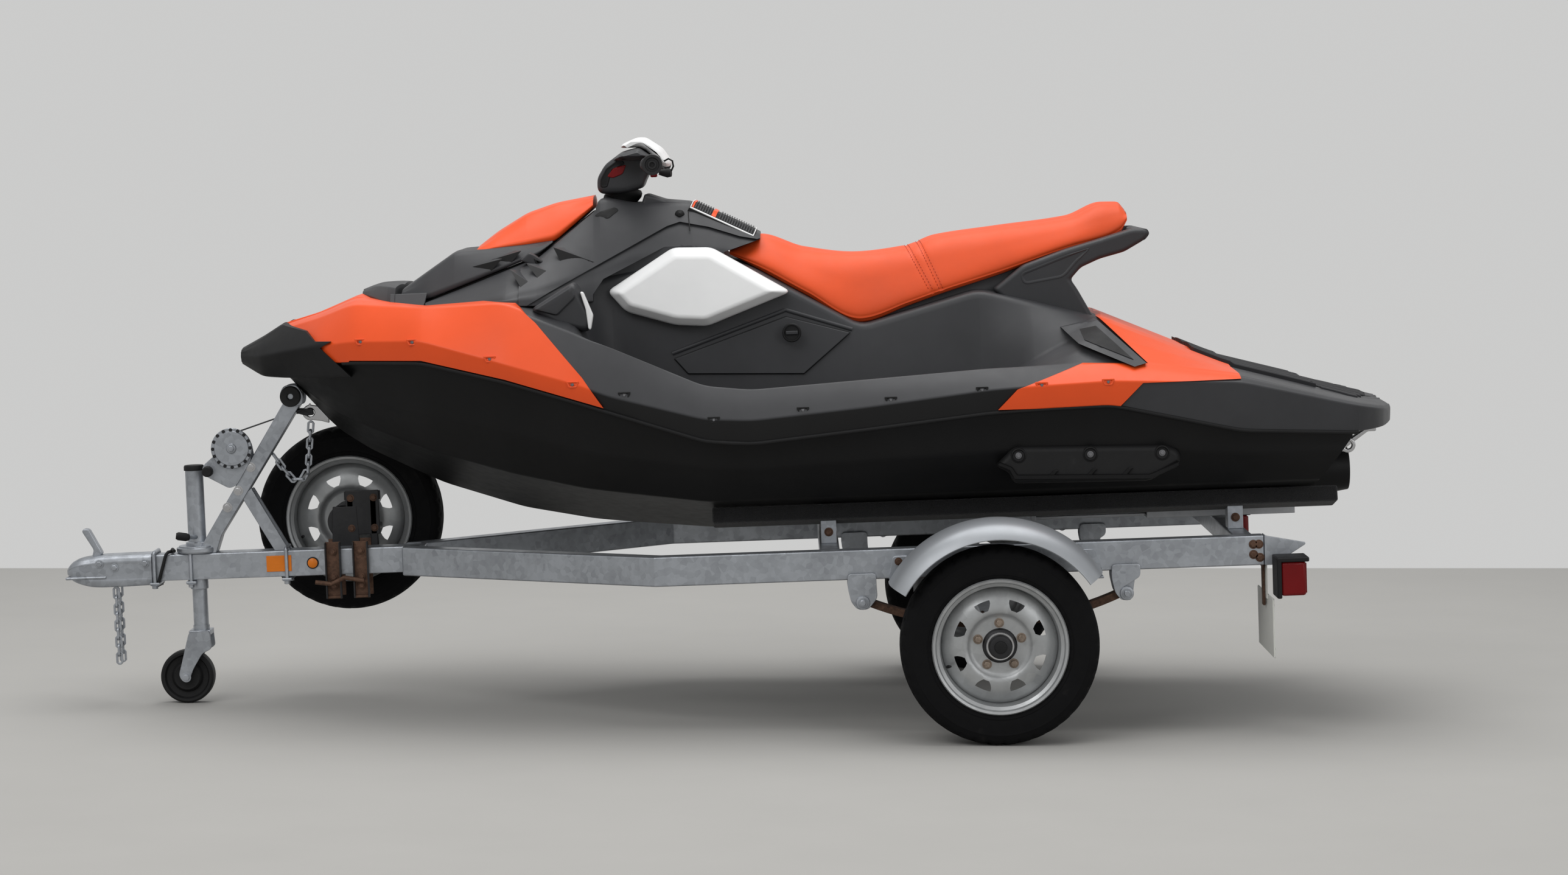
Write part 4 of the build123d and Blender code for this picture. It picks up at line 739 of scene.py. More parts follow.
SPONSON = [(12, 686), (61, 735), (444, 725), (480, 709), (483, 679), (404, 635), (58, 640), (45, 670)]
SPONSON_RINGS = [(0, 500), (0, 546), (3, 555), (9, 560), (15, 562)]
relief("side_sponsons", SPONSON, SPONSON_RINGS, 14, node="sponsons", sharp=50, **BLACK)

# Seat: one crowned cushion with a sewn cross band
SEAT = [
    (-648, 120, 1236, 135, 1242, 100, 1250), (-566, 150, 1190, 172, 1215, 105, 1281),
    (-450, 165, 1122, 185, 1150, 110, 1243), (-310, 170, 1046, 188, 1075, 120, 1224),
    (-180, 172, 1086, 190, 1110, 125, 1236), (-100, 172, 1112, 190, 1135, 125, 1262),
    (60, 160, 1158, 182, 1180, 125, 1280), (250, 140, 1218, 165, 1235, 115, 1300),
    (345, 120, 1240, 145, 1255, 100, 1333), (385, 110, 1255, 130, 1275, 90, 1332),
    (404, 105, 1285, 115, 1295, 85, 1312),
]
seat_at = flowing(SEAT)
BAND = (((-175, 1234), (-116, 1111)), ((-146, 1246), (-92, 1118)))
SEAM_DEPTH = 3.2
SEAM_HALF = 5


def band_x(edge, z):
    (x0, z0), (x1, z1) = BAND[edge]
    return x0 + (x1 - x0) * (z - z0) / (z1 - z0)


def seat_half(x):
    low_b, low_z, mid_b, mid_z, top_b, top_z = seat_at(x)
    points = [(0, low_z), (low_b, low_z), (mid_b, mid_z), (top_b, top_z - 2), (0, top_z)]
    hub = Vector((0, (low_z + top_z) / 2))
    out = []
    for p in eased(points, (10, 400, 400), (0, 3, 0, 4), 12):
        dip = 0
        if p[1] > low_z + 8:
            dip = sum(SEAM_DEPTH * exp(-((x - band_x(i, p[1])) / SEAM_HALF) ** 2) for i in (0, 1))
        if p[0] > TINY:
            out.append(p - (p - hub).normalized() * dip)
        else:
            out.append(Vector((0, p[1] - (dip if p[1] > hub.y else 0))))
    return out


SEAT_XS = spread(-648, 404, 5, [row[0] for row in SEAT])
seat = lofted("saddle_cushion", SEAT_XS, seat_half, slot="seat_vinyl", node="seat", sharp=60)


# Fittings of the craft

def side_at(half, x, z):
    """How far out a half section stands at a height."""
    path = half(x)
    found = []
    for a, b in zip(path, path[1:]):
        if min(a[1], b[1]) <= z <= max(a[1], b[1]) and abs(b[1] - a[1]) > TINY:
            found.append(a[0] + (b[0] - a[0]) * (z - a[1]) / (b[1] - a[1]))
    return max(found, default=path[-2][0])


def traced(name, half, points, radius, lift=0.0, **how):
    """A thin line laid along a side of the craft, with its twin."""
    path = []
    for (x0, z0), (x1, z1) in zip(points, points[1:]):
        count = max(1, ceil(hypot(x1 - x0, z1 - z0) / 12))
        path += [(x0 + (x1 - x0) * i / count, z0 + (z1 - z0) * i / count) for i in range(count)]
    path.append(points[-1])
    twin_tube(name, [(x, -(side_at(half, x, z) + lift), z) for x, z in path], radius, 8, **how)


def fins(name, half, items, lift, **how):
    """Raised wedges on a side, each with a thin hull-black sheet over its underside as painted shade: head,
    low corner and tip, with their twins.
    """
    wedges, shade_sheets = [], []
    for head, low, tip in items:
        above = (head[0] + 0.25 * (tip[0] - head[0]), head[1] + 14)
        flat = [(x, side_at(half, x, z) - 2, z) for x, z in (above, low, tip)]
        peak = (head[0], side_at(half, *head) + 0.6 * lift, head[1] + 0.8 * lift)
        for side in (-1, 1):
            points = [(x, side * y, z) for x, y, z in (*flat, peak)]
            wedges.append((points, ((0, 3, 2), (3, 1, 2), (0, 1, 3), (0, 2, 1))))
            # Painted shade: a thin hull-black sheet over the wedge's lower facet, which is dark in shade, not
            # in colour
            under = [Vector((x, side * (y + 1), z - 0.6)) for x, y, z in (peak, flat[1], flat[2])]
            points = [*under, sum(under, Vector()) / 3 - Vector((0, side * 9, 0))]
            shade_sheets.append((points, ((0, 1, 2), (0, 3, 1), (1, 3, 2), (2, 3, 0))))
    # The hull-black sheets are painted shade on the undersides of the wedges
    piece(name + "_painted_shade", shade_sheets, sharp=10, **HULL, **how)
    piece(name, wedges, sharp=10, **how)


def patch(name, half, outline, lift, **how):
    """A shallow moulded panel laid on a side of the craft, with its twin."""
    edge = rounded(outline, 6)
    middle = Vector((sum(p[0] for p in edge), sum(p[1] for p in edge))) / len(edge)
    rings = []
    for share, high in ((1.0, -4), (1.0, lift * 0.6), (0.94, lift), (0.6, lift), (0.25, lift)):
        spots = [middle + (Vector(p) - middle) * share for p in edge]
        rings.append([(p[0], side_at(half, p[0], p[1]) + high, p[1]) for p in spots])
    piece(name, twins(rings), **how)


# Raised upper skin of the console
OVER = [(x, lb + 5, lz, mb + 6, mz + 3, tb + 4, tz + 5) for x, lb, lz, mb, mz, tb, tz in CONSOLE]
SKIN_SIDE = [
    (-1190, 1120), (-1106, 1166), (-809, 1318), (-775, 1328), (-700, 1312), (-619, 1284), (-540, 1268),
    (-540, 1500), (-1190, 1500),
]
SKIN_FRONT = [(-700, 1100), (-668, 1247), (-566, 1277), (-480, 1277), (-480, 1100)]
lid_half = section_half(LID, *LID_EASE)
over_half = section_half(OVER, *CONSOLE_EASE)
console_skin = sectioned("console_skin", OVER, 10, *CONSOLE_EASE, sharp=34)
carved(
    console_skin, prism([(x + 5, z - 6) for x, z in LID_SWING], 620), prism(SKIN_FRONT, 420),
    within=prism(SKIN_SIDE, 600), edge=(2.5, 42),
)
traced("console_panel_line", over_half, [(-752, 1352), (-752, 1342), (-749, 1304)], 1.4, **BLACK)
GROMMET = [(-6, 4), (0, 11), (2, 13), (3.5, 12), (3.5, 8), (0.5, 6), (-2, 1)]
hole_y = side_at(over_half, -775, 1344)
turned("console_grommets", [(-775, s * hole_y, 1346) for s in (-1, 1)], GROMMET, **BLACK)
INTAKE = [(-1000, 1351), (-985, 1362), (-945, 1372), (-934, 1364), (-962, 1343)]
patch("console_intakes", over_half, INTAKE, 2.0, **BLACK)
fins("lid_fins", lid_half, [
    ((-1190, 1255), (-1222, 1234), (-1276, 1246)),
    ((-1240, 1236), (-1280, 1210), (-1326, 1230)),
], 17, body="lid")
fins("console_fins", over_half, [
    ((-1104, 1258), (-1086, 1238), (-992, 1230)),
    ((-1172, 1220), (-1142, 1198), (-1062, 1192)),
    ((-1214, 1206), (-1184, 1176), (-1126, 1164)),
], 22)
latch_y = side_at(over_half, -1150, 1240)
CATCH = [(-1192, 1244), (-1167, 1264), (-1152, 1256), (-1119, 1232), (-1148, 1226), (-1180, 1239)]
CATCH_RINGS = [(0, latch_y - 22), (0, latch_y + 9), (2, latch_y + 12), (7, latch_y + 13)]
relief("lid_catches", CATCH, CATCH_RINGS, 6, body="lid")
BUCKLE = [(-1156, 1250), (-1134, 1240), (-1132, 1232), (-1150, 1232)]
BUCKLE_RINGS = [(depth, latch_y + out) for depth, out in ((0, 8), (0, 14), (1.5, 16), (4, 16), (5, 13))]
relief("catch_buckles", BUCKLE, BUCKLE_RINGS, 5, body="lid", **BLACK)

# Instrument housing and the ribbed pad behind it
GAUGE = [(-886, 1352), (-878, 1374), (-868, 1402), (-860, 1402), (-815, 1386), (-748, 1378), (-742, 1352)]
across("gauge_housing", GAUGE, [(9, 106), (3, 102), (0, 94)], 5, sharp=36)
slope = atan2(1282 - 1370, -566 + 742)
PLATE_WAY = Vector((cos(slope), 0, sin(slope)))
PLATE_UP = Vector((-sin(slope), 0, cos(slope)))
PLATE_AT = Vector((-744, 0, 1376))


def plate_bars(name, spans, section, **how):
    """Bars across the sloping pad: spans along it and one (across, height) section."""
    def spot(along, out, high):
        return PLATE_AT + PLATE_WAY * along + PLATE_UP * high + Vector((0, out, 0))

    parts = [joined([[spot(along, *row) for row in section] for along in ends]) for ends in spans]
    soften(piece(name, parts, shade=False, **how), 0.8, 40)


def roof(half, top, flank, drop, thick):
    """A pad section: flat over the top, turned down over both shoulders."""
    outer = [(-flank, top - drop), (-half, top), (half, top), (flank, top - drop)]
    return [*outer, *[(out, high - thick) for out, high in reversed(outer)]]


plate_bars("pad_base", [(0, 188)], roof(131, 3, 154, 17, 14), **BLACK)
RIB_ROWS = [a for a in range(13, 178, 7) if not 58 < a < 78]
plate_bars("pad_ribs", [(a, a + 3.4) for a in RIB_ROWS], roof(130, 7, 149, 14, 6))
plate_bars("pad_accents", [(6, 11), (62, 74)], roof(130, 6.5, 149, 14, 5), **ORANGE)
plate_bars("pad_ends", [(2, 4.5), (183, 185.5)], roof(131, 6, 152, 15.5, 5), **WHITE)
for side, label in SIDES:
    rim = [(side * 150, -9), (side * 153, -11.2), (side * 153, -15), (side * 150, -13)]
    plate_bars("pad_edge_" + label, [(2, 185.5)], rim, **WHITE)

# Steering head, crash pad, bar and grips
BAR_X, BAR_Z = -852, 1481
POD = [
    (-994, 1418), (-993, 1449), (-971, 1484), (-924, 1517), (-872, 1529), (-856, 1523), (-832, 1490),
    (-862, 1444), (-872, 1419), (-922, 1406), (-982, 1406),
]
POD_RINGS = [(20, 74), (8, 72), (2, 66), (0, 54)]
across("steering_head", POD, POD_RINGS, 12, node="steering_pod", sharp=40, **STEERED)
WING = [(-950, 1494), (-926, 1516), (-876, 1528), (-838, 1500), (-870, 1490)]
across("steering_wings", WING, [(14, 190), (9, 182), (3, 150), (0, 70)], 9, sharp=40, **STEERED)
HEAD_INSET = [
    (-985, 1424), (-966, 1424), (-952, 1470), (-916, 1484), (-930, 1500), (-968, 1474), (-984, 1446),
]
relief("head_insets", HEAD_INSET, [(0, 60), (0, 74.5), (2, 76), (6, 74.5)], 6, **STEERED_BLACK)
RED_INSET = [(-966, 1452), (-948, 1474), (-914, 1482), (-924, 1458), (-950, 1448)]
relief("head_red_insets", RED_INSET, [(0, 62), (0, 75.5), (1.5, 77), (5, 77)], 5, **STEERED, **RED)
WING_INSET = [(-936, 1500), (-884, 1515), (-872, 1506), (-918, 1494)]
WING_INSET_RINGS = [(0, 110), (0, 158), (0.5, 166), (3, 172), (6, 174)]
relief("wing_insets", WING_INSET, WING_INSET_RINGS, 5, **STEERED_BLACK)
STEM_TILT = radians(21)
STEM_WAY = Vector((sin(STEM_TILT), 0, cos(STEM_TILT)))
boot_path = [Vector((-938, 0, 1384)) + STEM_WAY * d for d in (-26, 0, 4, 6, 14, 22, 30, 40, 46)]
tube("steering_boot", boot_path, [44, 45, 45, 43, 45, 48, 51, 50, 45], 40, sharp=50, **STEERED_BLACK)
CRASH = [
    (-928, 1526), (-921, 1537), (-884, 1552), (-864, 1553), (-819, 1522), (-799, 1490), (-797, 1478),
    (-808, 1470), (-830, 1486), (-856, 1516), (-874, 1526),
]
CRASH_RINGS = [(15, 130), (9, 127), (4, 120), (1, 106), (0, 84)]
across("crash_pad", CRASH, CRASH_RINGS, 12, node="handlebar_pad", sharp=46, **STEERED, **WHITE)

GRIP_ROOT = 260
GRIP_SWEEP = 0.14
RIB = ((4, 15.2), (5.4, 17.2), (9.4, 17.2), (10.8, 15.2))
RIB_PITCH = 7.4
GRIP_ROWS = [
    (0, 2), (0, 15), *[(along + k * RIB_PITCH, radius) for k in range(15) for along, radius in RIB],
    (114, 17), (115.5, 25), (122, 27), (125, 25.5), (125, 19), (120, 17), (120, 12), (124, 11), (124, 7),
    (117, 6), (117, 1),
]
grip_rows = [(GRIP_ROOT + along, radius) for along, radius in GRIP_ROWS]
GRIP_LOOK = {**STEERED_BLACK, "mat": GRIP, "sharp": 30}
for side, label in SIDES:
    grip = turned("grip_" + label, [(BAR_X, 0, BAR_Z)], grip_rows, steps=28, side=side, **GRIP_LOOK)
    for vertex in grip.data.vertices:
        vertex.co.x += GRIP_SWEEP * (abs(vertex.co.y) - GRIP_ROOT / 1000)
bar_path = [(BAR_X, y, BAR_Z) for y in (-266, -120, 0, 120, 266)]
tube("steering_bar", bar_path, 11, 20, node="handlebar", **STEERED_BLACK)
COLLAR = [(-14, 11), (-14, 17), (-10, 19), (10, 19), (14, 17), (14, 11)]
turned("bar_collars", [(BAR_X, y, BAR_Z) for y in (-242, 242)], COLLAR, sharp=30, **STEERED)
SWITCH = [(-9, 2), (-9, 13), (-6, 15), (6, 15), (9, 13), (9, 2)]
turned("stop_switch", [(-836, -246, 1462)], SWITCH, axis="x", sharp=30, **STEERED, **RED)
KEY = [(-822, -246, 1460), (-812, -246, 1458), (-800, -250, 1457), (-790, -252, 1457)]
LOOP = [(-790, -252, 1462), (-784, -254, 1474), (-786, -254, 1488), (-796, -252, 1494), (-808, -248, 1488)]
THROTTLE = [(-836, 236, 1470), (-826, 262, 1458), (-822, 300, 1454), (-826, 336, 1456)]
MODE = [(-836, -236, 1474), (-828, -270, 1466), (-828, -312, 1462)]
tube("stop_switch_key", KEY, [7, 9, 12, 10], 16, sharp=50, **STEERED_BLACK)
tube("key_loop", LOOP, 2.4, 10, sharp=60, **STEERED_BLACK)
tube("throttle_lever", THROTTLE, [8, 7, 6, 5], 14, sharp=60, **STEERED_BLACK)
tube("mode_lever", MODE, [7, 6, 5], 14, sharp=60, **STEERED_BLACK)


# Bolt pockets along the rail band and the side panels

def pockets(name, spots, grow, slot):
    """Moulded pockets on the deck or on a panel over it, with a bolt in each."""
    places = [(x, side_at(lambda at: deck_half(at, grow), x, z), z) for x, z in spots]
    for index, (x, y, z) in enumerate(places):
        shape = [(x - 17, z + 7), (x + 17, z + 7), (x + 10, z - 9), (x - 10, z - 9)]
        rings = [(0, y - 16), (0, y + 1.5), (1.5, y + 2.2), (4, y + 1), (5, y - 3)]
        relief(f"{name}_{index}", shape, rings, 4, slot=slot)
    for side, label in SIDES:
        heads = [(x, side * (y - 2), z - 1) for x, y, z in places]
        bolts(f"{name}_bolts_{label}", heads, 3.8, 4, (0, side, 0), mat=MATS["engine_grey"], **STEEL)


RAIL_SPOTS = [(-921, 904), (-697, 834), (-471, 850), (-248, 868), (-17, 885)]
BOW_SPOTS = [(-1600, 1055), (-1459, 1053), (-1259, 1006), (-1050, 936)]
pockets("rail_pockets", RAIL_SPOTS, 0, "rubber_black")
pockets("bow_pockets", BOW_SPOTS, PANEL_RISE, "orange_panel")
pockets("stern_pockets", [(133, 892), (301, 894)], PANEL_RISE, "orange_panel")


# Dark band under the rail, and the rub strip along the joint of hull and deck

def band_section(x):
    seam_b, seam_z, band_b, band_z = lines_at(x)[5:9]
    low, high = Vector((seam_b, seam_z)), Vector((band_b, band_z))
    rim = high - (high - low).normalized() * 5
    return [
        low, low + Vector((3, 1)), low.lerp(rim, 0.5) + Vector((3.6, 0)), rim + Vector((3, 0)),
        rim + Vector((2, 2.5)), rim - Vector((4, 0)),
    ]


def joint_spot(x):
    seam_b, seam_z = lines_at(x)[5:7]
    return x, -(seam_b + 2), seam_z - 2


band_rings = [[(x, p[0], p[1]) for p in band_section(x)] for x in spread(-1040, 80, 20, STATIONS)]
piece("rail_bands", twins(band_rings), mat=BAND_BLACK, sharp=50, **HULL)
joint_path = [joint_spot(x) for x in spread(-1655, 940, 20, STATIONS)]
twin_tube("joint_strip", joint_path, 5.5, 10, sharp=60, **BLACK)

# Sponsons: lower ledge, ribs and bolts
LEDGE = [
    (14, 690), (46, 676), (58, 652), (404, 641), (476, 672), (478, 684), (402, 654), (66, 664), (54, 684),
    (22, 698),
]
relief("sponson_ledges", LEDGE, [(0, 540), (0, 568), (2, 571), (4, 571)], 4, sharp=40, **HULL)
for x in (146, 244, 335):
    rib = [(x - 10, 648), (x + 4, 648), (x + 26, 672), (x + 14, 672)]
    relief(f"sponson_rib_{x}", rib, [(0, 550), (0, 566), (2, 568)], 3, **HULL)
SPONSON_SPOTS = ((71, 712), (253, 709), (435, 706))
CUP = ((0, 20), (3, 19), (4, 16), (1, 14))
side_bolts("sponson_bolts", 562, SPONSON_SPOTS, 5.5, 5, mat=MATS["engine_grey"], **STEEL)
for side, label in SIDES:
    turned("sponson_cups_" + label, [(x, side * 560, z) for x, z in SPONSON_SPOTS], CUP, side=side, **HULL)

# Access panels: dark seam and the moulded lip above; deflector blades; access latches
ACCESS = [(-800, 972), (-766, 932), (-464, 921), (-340, 1022), (-506, 1070), (-800, 972)]


def wall_half(x):
    """The inner wall of the deck, beside the seat."""
    return [p for p in deck_half(x) if p[0] < 300]


traced("access_seams", wall_half, ACCESS, 2.2, 1.5, sharp=60, **BLACK)
traced("access_lips", wall_half, [(-806, 986), (-506, 1088), (-334, 1030)], 6, -1, sharp=60)
BLADE = [(-1029, 1164), (-1021, 1162), (-998, 1102), (-1005, 1066), (-1011, 1068), (-1016, 1119)]
relief("deflector_blades", BLADE, [(0, 430), (0, 456), (2, 458), (3, 458)], 5, **WHITE)
CREASE = [(-1150, 1122), (-1050, 1180), (-1040, 1150), (-1090, 1104)]
relief("deflector_creases", CREASE, [(0, 440), (0, 456), (4, 461), (12, 462)], 8)
DIAL = ((262, 3), (262, 25), (266, 25), (268, 23), (268, 20), (264, 19), (264, 2))
turned("access_latch_dials", [(-492, 0, 1030)], DIAL, side=-1, node="access_latches", **BLACK)
turned("access_latch_dials_far", [(-492, 0, 1030)], DIAL, **BLACK)
for side, label in SIDES:
    boxes("latch_bar_" + label, [((-508, -476), reach(side, 262, 269), (1025, 1035))], 2)

# Seat arms and their rear grab bar
ARM = [
    (40, 1122), (121, 1182), (232, 1219), (324, 1243), (407, 1266), (446, 1266), (454, 1254), (440, 1236),
    (387, 1207), (322, 1191), (272, 1170), (244, 1140), (262, 1112), (292, 1056), (306, 1030), (226, 1040),
    (150, 1060), (70, 1090),
]
ARM_RINGS = [(0, 140), (0, 192), (2, 199), (6, 203), (12, 204)]
relief("seat_arms", ARM, ARM_RINGS, 10, node="seat_support", sharp=44)
ARM_HOLLOW = [(110, 1160), (232, 1204), (300, 1222), (262, 1186), (226, 1146), (120, 1130)]
relief("seat_arm_painted_shade", ARM_HOLLOW, [(0, 190), (0, 205), (2, 206), (6, 205), (12, 201)], 14, sharp=44)
GRAB = rounded([(420, 1236), (422, 1264), (448, 1266), (455, 1252), (440, 1234)], 8)
piece("grab_bar", [joined([[(p[0], y, p[1]) for p in GRAB] for y in (-196, 196)])])


# Grooved mat on the swim platform: a thick front pad and a thin rear one

def top_at(x, y):
    """Height of the deck's upper face, or of the panel on it, at a plan position."""
    path = deck_half(x, PANEL_RISE if x < 648 else PLATFORM_RISE)
    for a, b in zip(reversed(path[:-1]), reversed(path)):
        if b[0] <= y <= a[0]:
            return b[1] + (a[1] - b[1]) * (y - b[0]) / max(a[0] - b[0], TINY)
    return path[-1][1]


def mat_section(x, left, right, lift):
    (y0, z0), (y1, z1) = [(y, top_at(x, abs(y))) for y in (left, right)]
    shape = [(y0, z0 - 8), (y0, z0 + lift), (y1, z1 + lift), (y1, z1 - 8)]
    return [(x, p[0], p[1]) for p in eased(shape, (4, 4), None, 3)]


MAT_STRIP = 36
MAT_PITCH = 43
mat_parts = [
    joined([mat_section(x, left, left + MAT_STRIP, lift) for x in spread(low, high, 12, STATIONS)])
    for left in range(-277, 277, MAT_PITCH)
    for low, high, lift in ((552, 868, 11), (882, 1030 - 0.0007 * left * left, 5))
]
piece("platform_mat", mat_parts, slot="mat_black", sharp=34)

# Seat base under the cushion, and the stitches of its cross band
SEAT_BASE = [
    (-600, 120, 1150, 126, 1190, 118, 1222), (-450, 150, 1060, 156, 1100, 146, 1140),
    (-310, 156, 1000, 160, 1030, 150, 1062), (-180, 158, 1020, 162, 1070, 152, 1102),
    (-60, 156, 1060, 160, 1100, 148, 1140), (60, 148, 1080, 152, 1130, 142, 1172),
    (150, 138, 1110, 142, 1170, 132, 1200), (200, 130, 1130, 134, 1190, 124, 1216),
]
sectioned("seat_base", SEAT_BASE, 20, (8, 8, 8))


def seam_spots(edge, shift):
    """Points over the cushion along one edge of the band, from side to side."""
    rows = []
    for j, start in enumerate(seat_half(-140)):
        z = start[1]
        for _ in range(3):
            x = band_x(edge, z) + shift
            b, z = seat_half(x)[j]
        if z > 1126:
            rows.append(Vector((x, -b, z)))
    return rows + [Vector((p.x, -p.y, p.z)) for p in reversed(rows[:-1])]


def dashes(path, on, off):
    """A line cut into stitches."""
    out = []
    here, left, stitch = path[0], on, [path[0]]
    for target in path[1:]:
        while (target - here).length > left:
            here = here + (target - here).normalized() * left
            if stitch:
                out.append([*stitch, here])
                stitch, left = [], off
            else:
                stitch, left = [here], on
        left -= (target - here).length
        here = target
        if stitch:
            stitch.append(target)
    return out


def stitch_part(a, b):
    """One raised stitch between two points."""
    out = Vector((0, a.y, a.z - 1130)).normalized()
    flank = (b - a).normalized().cross(out)
    return joined([
        [p + out * 0.2 + flank * r * cos(t) + out * r * sin(t) for t in (0, 1.26, 2.51, 3.77, 5.03)]
        for p, r in ((a, 0.5), ((a + b) / 2 + out * 0.9, 1.0), (b, 0.5))
    ])


stitches = [
    stitch_part(run[0], run[-1])
    for edge in (0, 1)
    for shift in (-5, 5)
    for run in dashes(seam_spots(edge, shift), 6, 3.5)
]
piece("band_stitches", stitches, slot="seat_vinyl", mat=THREAD)

# Road wheels and the spare: tyre, pressed rim, hub and bolts
TYRE_HALF = [
    (48, 167), (53, 170), (56.5, 176), (59, 181.5), (60.6, 182.5), (59.6, 184), (61, 192), (62, 206),
    (61.6, 218), (62, 221), (62, 223), (60.6, 224.5), (58.5, 234), (55, 241), (50, 245.5), (44, 248),
    (37, 249.2), (31, 249.6), (30, 244), (26, 244), (25, 249.8), (11, 250), (10, 244.6), (6, 244.6), (5, 250),
]
TYRE_SHAPE = [*TYRE_HALF, *[(-o, r) for o, r in reversed(TYRE_HALF)]]
LUG_DEPTH = 4.5
GROOVE_DEPTH = 2.5
BARREL = [
    (58, 172), (62, 169), (60, 163), (52, 160), (47, 152), (30, 149), (10, 147), (-36, 147), (-50, 155),
    (-60, 163), (-62, 169), (-58, 172), (-40, 170), (0, 152), (40, 170),
]
DISC = [
    (149, 8), (144, 16), (136, 20), (126, 25), (118, 29), (110, 31.5), (101, 33.5), (93, 34.5), (86, 34),
    (80, 30), (75, 26), (68, 24), (46, 24), (36, 24),
]
DISC_THICK = 4
TURNS = 160
WINDOWS = 8
HUB = (
    (-16, 60), (14, 60), (22, 58), (22, 46), (25, 43), (32, 40), (35, 34), (36, 33), (39, 33), (40, 31),
    (56, 30), (61, 27), (62.5, 21), (62, 4),
)
CAP_RING = ((36, 30), (36, 34.5), (38, 35.5), (42, 35.5), (44, 34), (44, 30))
CAP_PLUG = ((60, 4), (63, 16), (66, 15), (67, 11), (67, 2))
LUG_CIRCLE = 57.15


def about(centre, out, r, a, b):
    """A point around a wheel's axle."""
    return centre[0] + r * a, centre[1] + out, centre[2] + r * b


def tyre_ring(centre, k, a, b):
    ring = []
    for o, r in TYRE_SHAPE:
        lug = 36 < abs(o) < 57 and k % 4 == 0
        groove = 11 < abs(o) < 26 and k % 4 == (1 if o > 0 else 3)
        ring.append(about(centre, o, r - (LUG_DEPTH if lug else GROOVE_DEPTH if groove else 0), a, b))
    return ring


def is_window(k, i):
    return 4 <= i <= 6 and abs((k + 1) % (TURNS // WINDOWS) - TURNS // WINDOWS // 2) <= 4


def disc_part(centre, side):
    """The pressed disc: two skins with windows whose inner ends are pinched."""
    points = []
    for layer in (0, -DISC_THICK):
        for k in range(TURNS):
            step = (k + 0.5) % (TURNS / WINDOWS) - TURNS / WINDOWS / 2
            for i, (r, o) in enumerate(DISC):
                pinch = (0.45 if i == 7 else 0.8) if i in (6, 7) and abs(step) < 5 else 1
                turn = 2 * pi * (k - step * (1 - pinch)) / TURNS
                points.append(about(centre, side * (o + layer), r, cos(turn), sin(turn)))
    faces = []
    rings = len(DISC)
    back = TURNS * rings
    for k in range(TURNS):
        n = (k + 1) % TURNS
        for i in range(rings - 1):
            if is_window(k, i):
                continue
            a, b, c, d = (q * rings + j for q, j in ((k, i), (k, i + 1), (n, i + 1), (n, i)))
            faces += [(a, b, c, d), (a + back, d + back, c + back, b + back)]
            if i == 0 or is_window(k, i - 1):
                faces.append((a, d, d + back, a + back))
            if i == rings - 2 or is_window(k, i + 1):
                faces.append((b, b + back, c + back, c))
            if is_window(n, i):
                faces.append((c, c + back, d + back, d))
            if is_window(k - 1 if k else TURNS - 1, i):
                faces.append((a, a + back, b + back, b))
    return points, faces


def wheel(tag, centre, side, body, tyre, rim, hub=None):
    tread = ringed([tyre_ring(centre, k, a, b) for k, (a, b) in enumerate(circle(TURNS))])
    piece(tag + "_tyre", [tread], body=body, slot="tyre", node=tyre, sharp=32)
    barrel = ringed([[about(centre, side * o, r, a, b) for o, r in BARREL] for a, b in circle(96)])
    piece(tag + "_rim", [barrel, disc_part(centre, side)], body=body, slot="rim_silver", node=rim, sharp=34)
    valve = Vector(centre) + Vector((-141 * cos(0.35), side * 30, 141 * sin(-0.35)))
    valve_path = [valve, valve + Vector((2, side * 12, 2)), valve + Vector((6, side * 24, 4))]
    tube(tag + "_valve", valve_path, [4.5, 4, 3], 10, body=body, **BLACK)
    if not hub:
        return
    turns = [radians(90 + 72 * i) for i in range(5)]
    spots = [about(centre, side * 24, LUG_CIRCLE, cos(a), sin(a)) for a in turns]
    bolts(tag + "_lug_bolts", spots, 8.5, 11, (0, side, 0), mat=WORN, body=body, **ZINC)
    how = {"side": side, "body": body, "sharp": 30}
    turned(tag + "_hub", [centre], HUB, steps=40, node=hub, **DARK, **how)
    turned(tag + "_cap_ring", [centre], CAP_RING, steps=40, **STEEL, **how)
    turned(tag + "_cap_plug", [centre], CAP_PLUG, **BLACK, **how)


for side, label in SIDES:
    nodes = [f"{part}_{label}" for part in ("tyre", "rim", "hub")]
    wheel(label + "_wheel", (0, side * 690, 250), side, BODY_OF[nodes[0]], *nodes)
wheel("spare_wheel", (-1715, 188, 548), -1, ROOT, "spare_tyre", "spare_rim")

# Fenders: rolled edges and a raised middle, on two stays each
FENDER_LINE = [
    (592, 294), (594, 304), (600, 311), (612, 314), (640, 315.5), (646, 317), (690, 317.5), (722, 316),
    (744, 312), (760, 305), (772, 295), (780, 285), (785, 277), (786.5, 274), (785, 272), (782, 273),
    (776, 282), (766, 292), (755, 301), (741, 308), (720, 312), (690, 313.5), (612, 310.5), (602, 307),
    (597, 302), (595, 294),
]
FENDER_TURNS = [radians(31 + 115 * i / 64) for i in range(65)]
fender_rings = [[(-r * cos(t), y, 250 + r * sin(t)) for y, r in FENDER_LINE] for t in FENDER_TURNS]
piece("wheel_fenders", twins(fender_rings), slot="fender_silver", node="fenders", sharp=40)
for x, tip, end in ((-236, -18, "front"), (236, 18, "rear")):
    stay = [(x - 20, 466), (x + 20, 466), (x + 22 + tip, 412), (x + tip, 398), (x - 16 + tip, 408)]
    relief("fender_stays_" + end, stay, [(0, 538), (0, 546), (1.5, 547.5), (5, 547.5)], 8, **ZINC)
    arms = [((x + tip - 13, x + tip + 13), reach(s, 540, 700), (408, 413)) for s in (-1, 1)]
    boxes("fender_arms_" + end, arms, **ZINC)
    ends = ["_left_" + end, "_right_" + end]
    side_bolts("fender_bolts", 547, [(x - 6, 452), (x + 8, 430)], 7, 6, ends, **(RUSTY if x < 0 else ZINC))

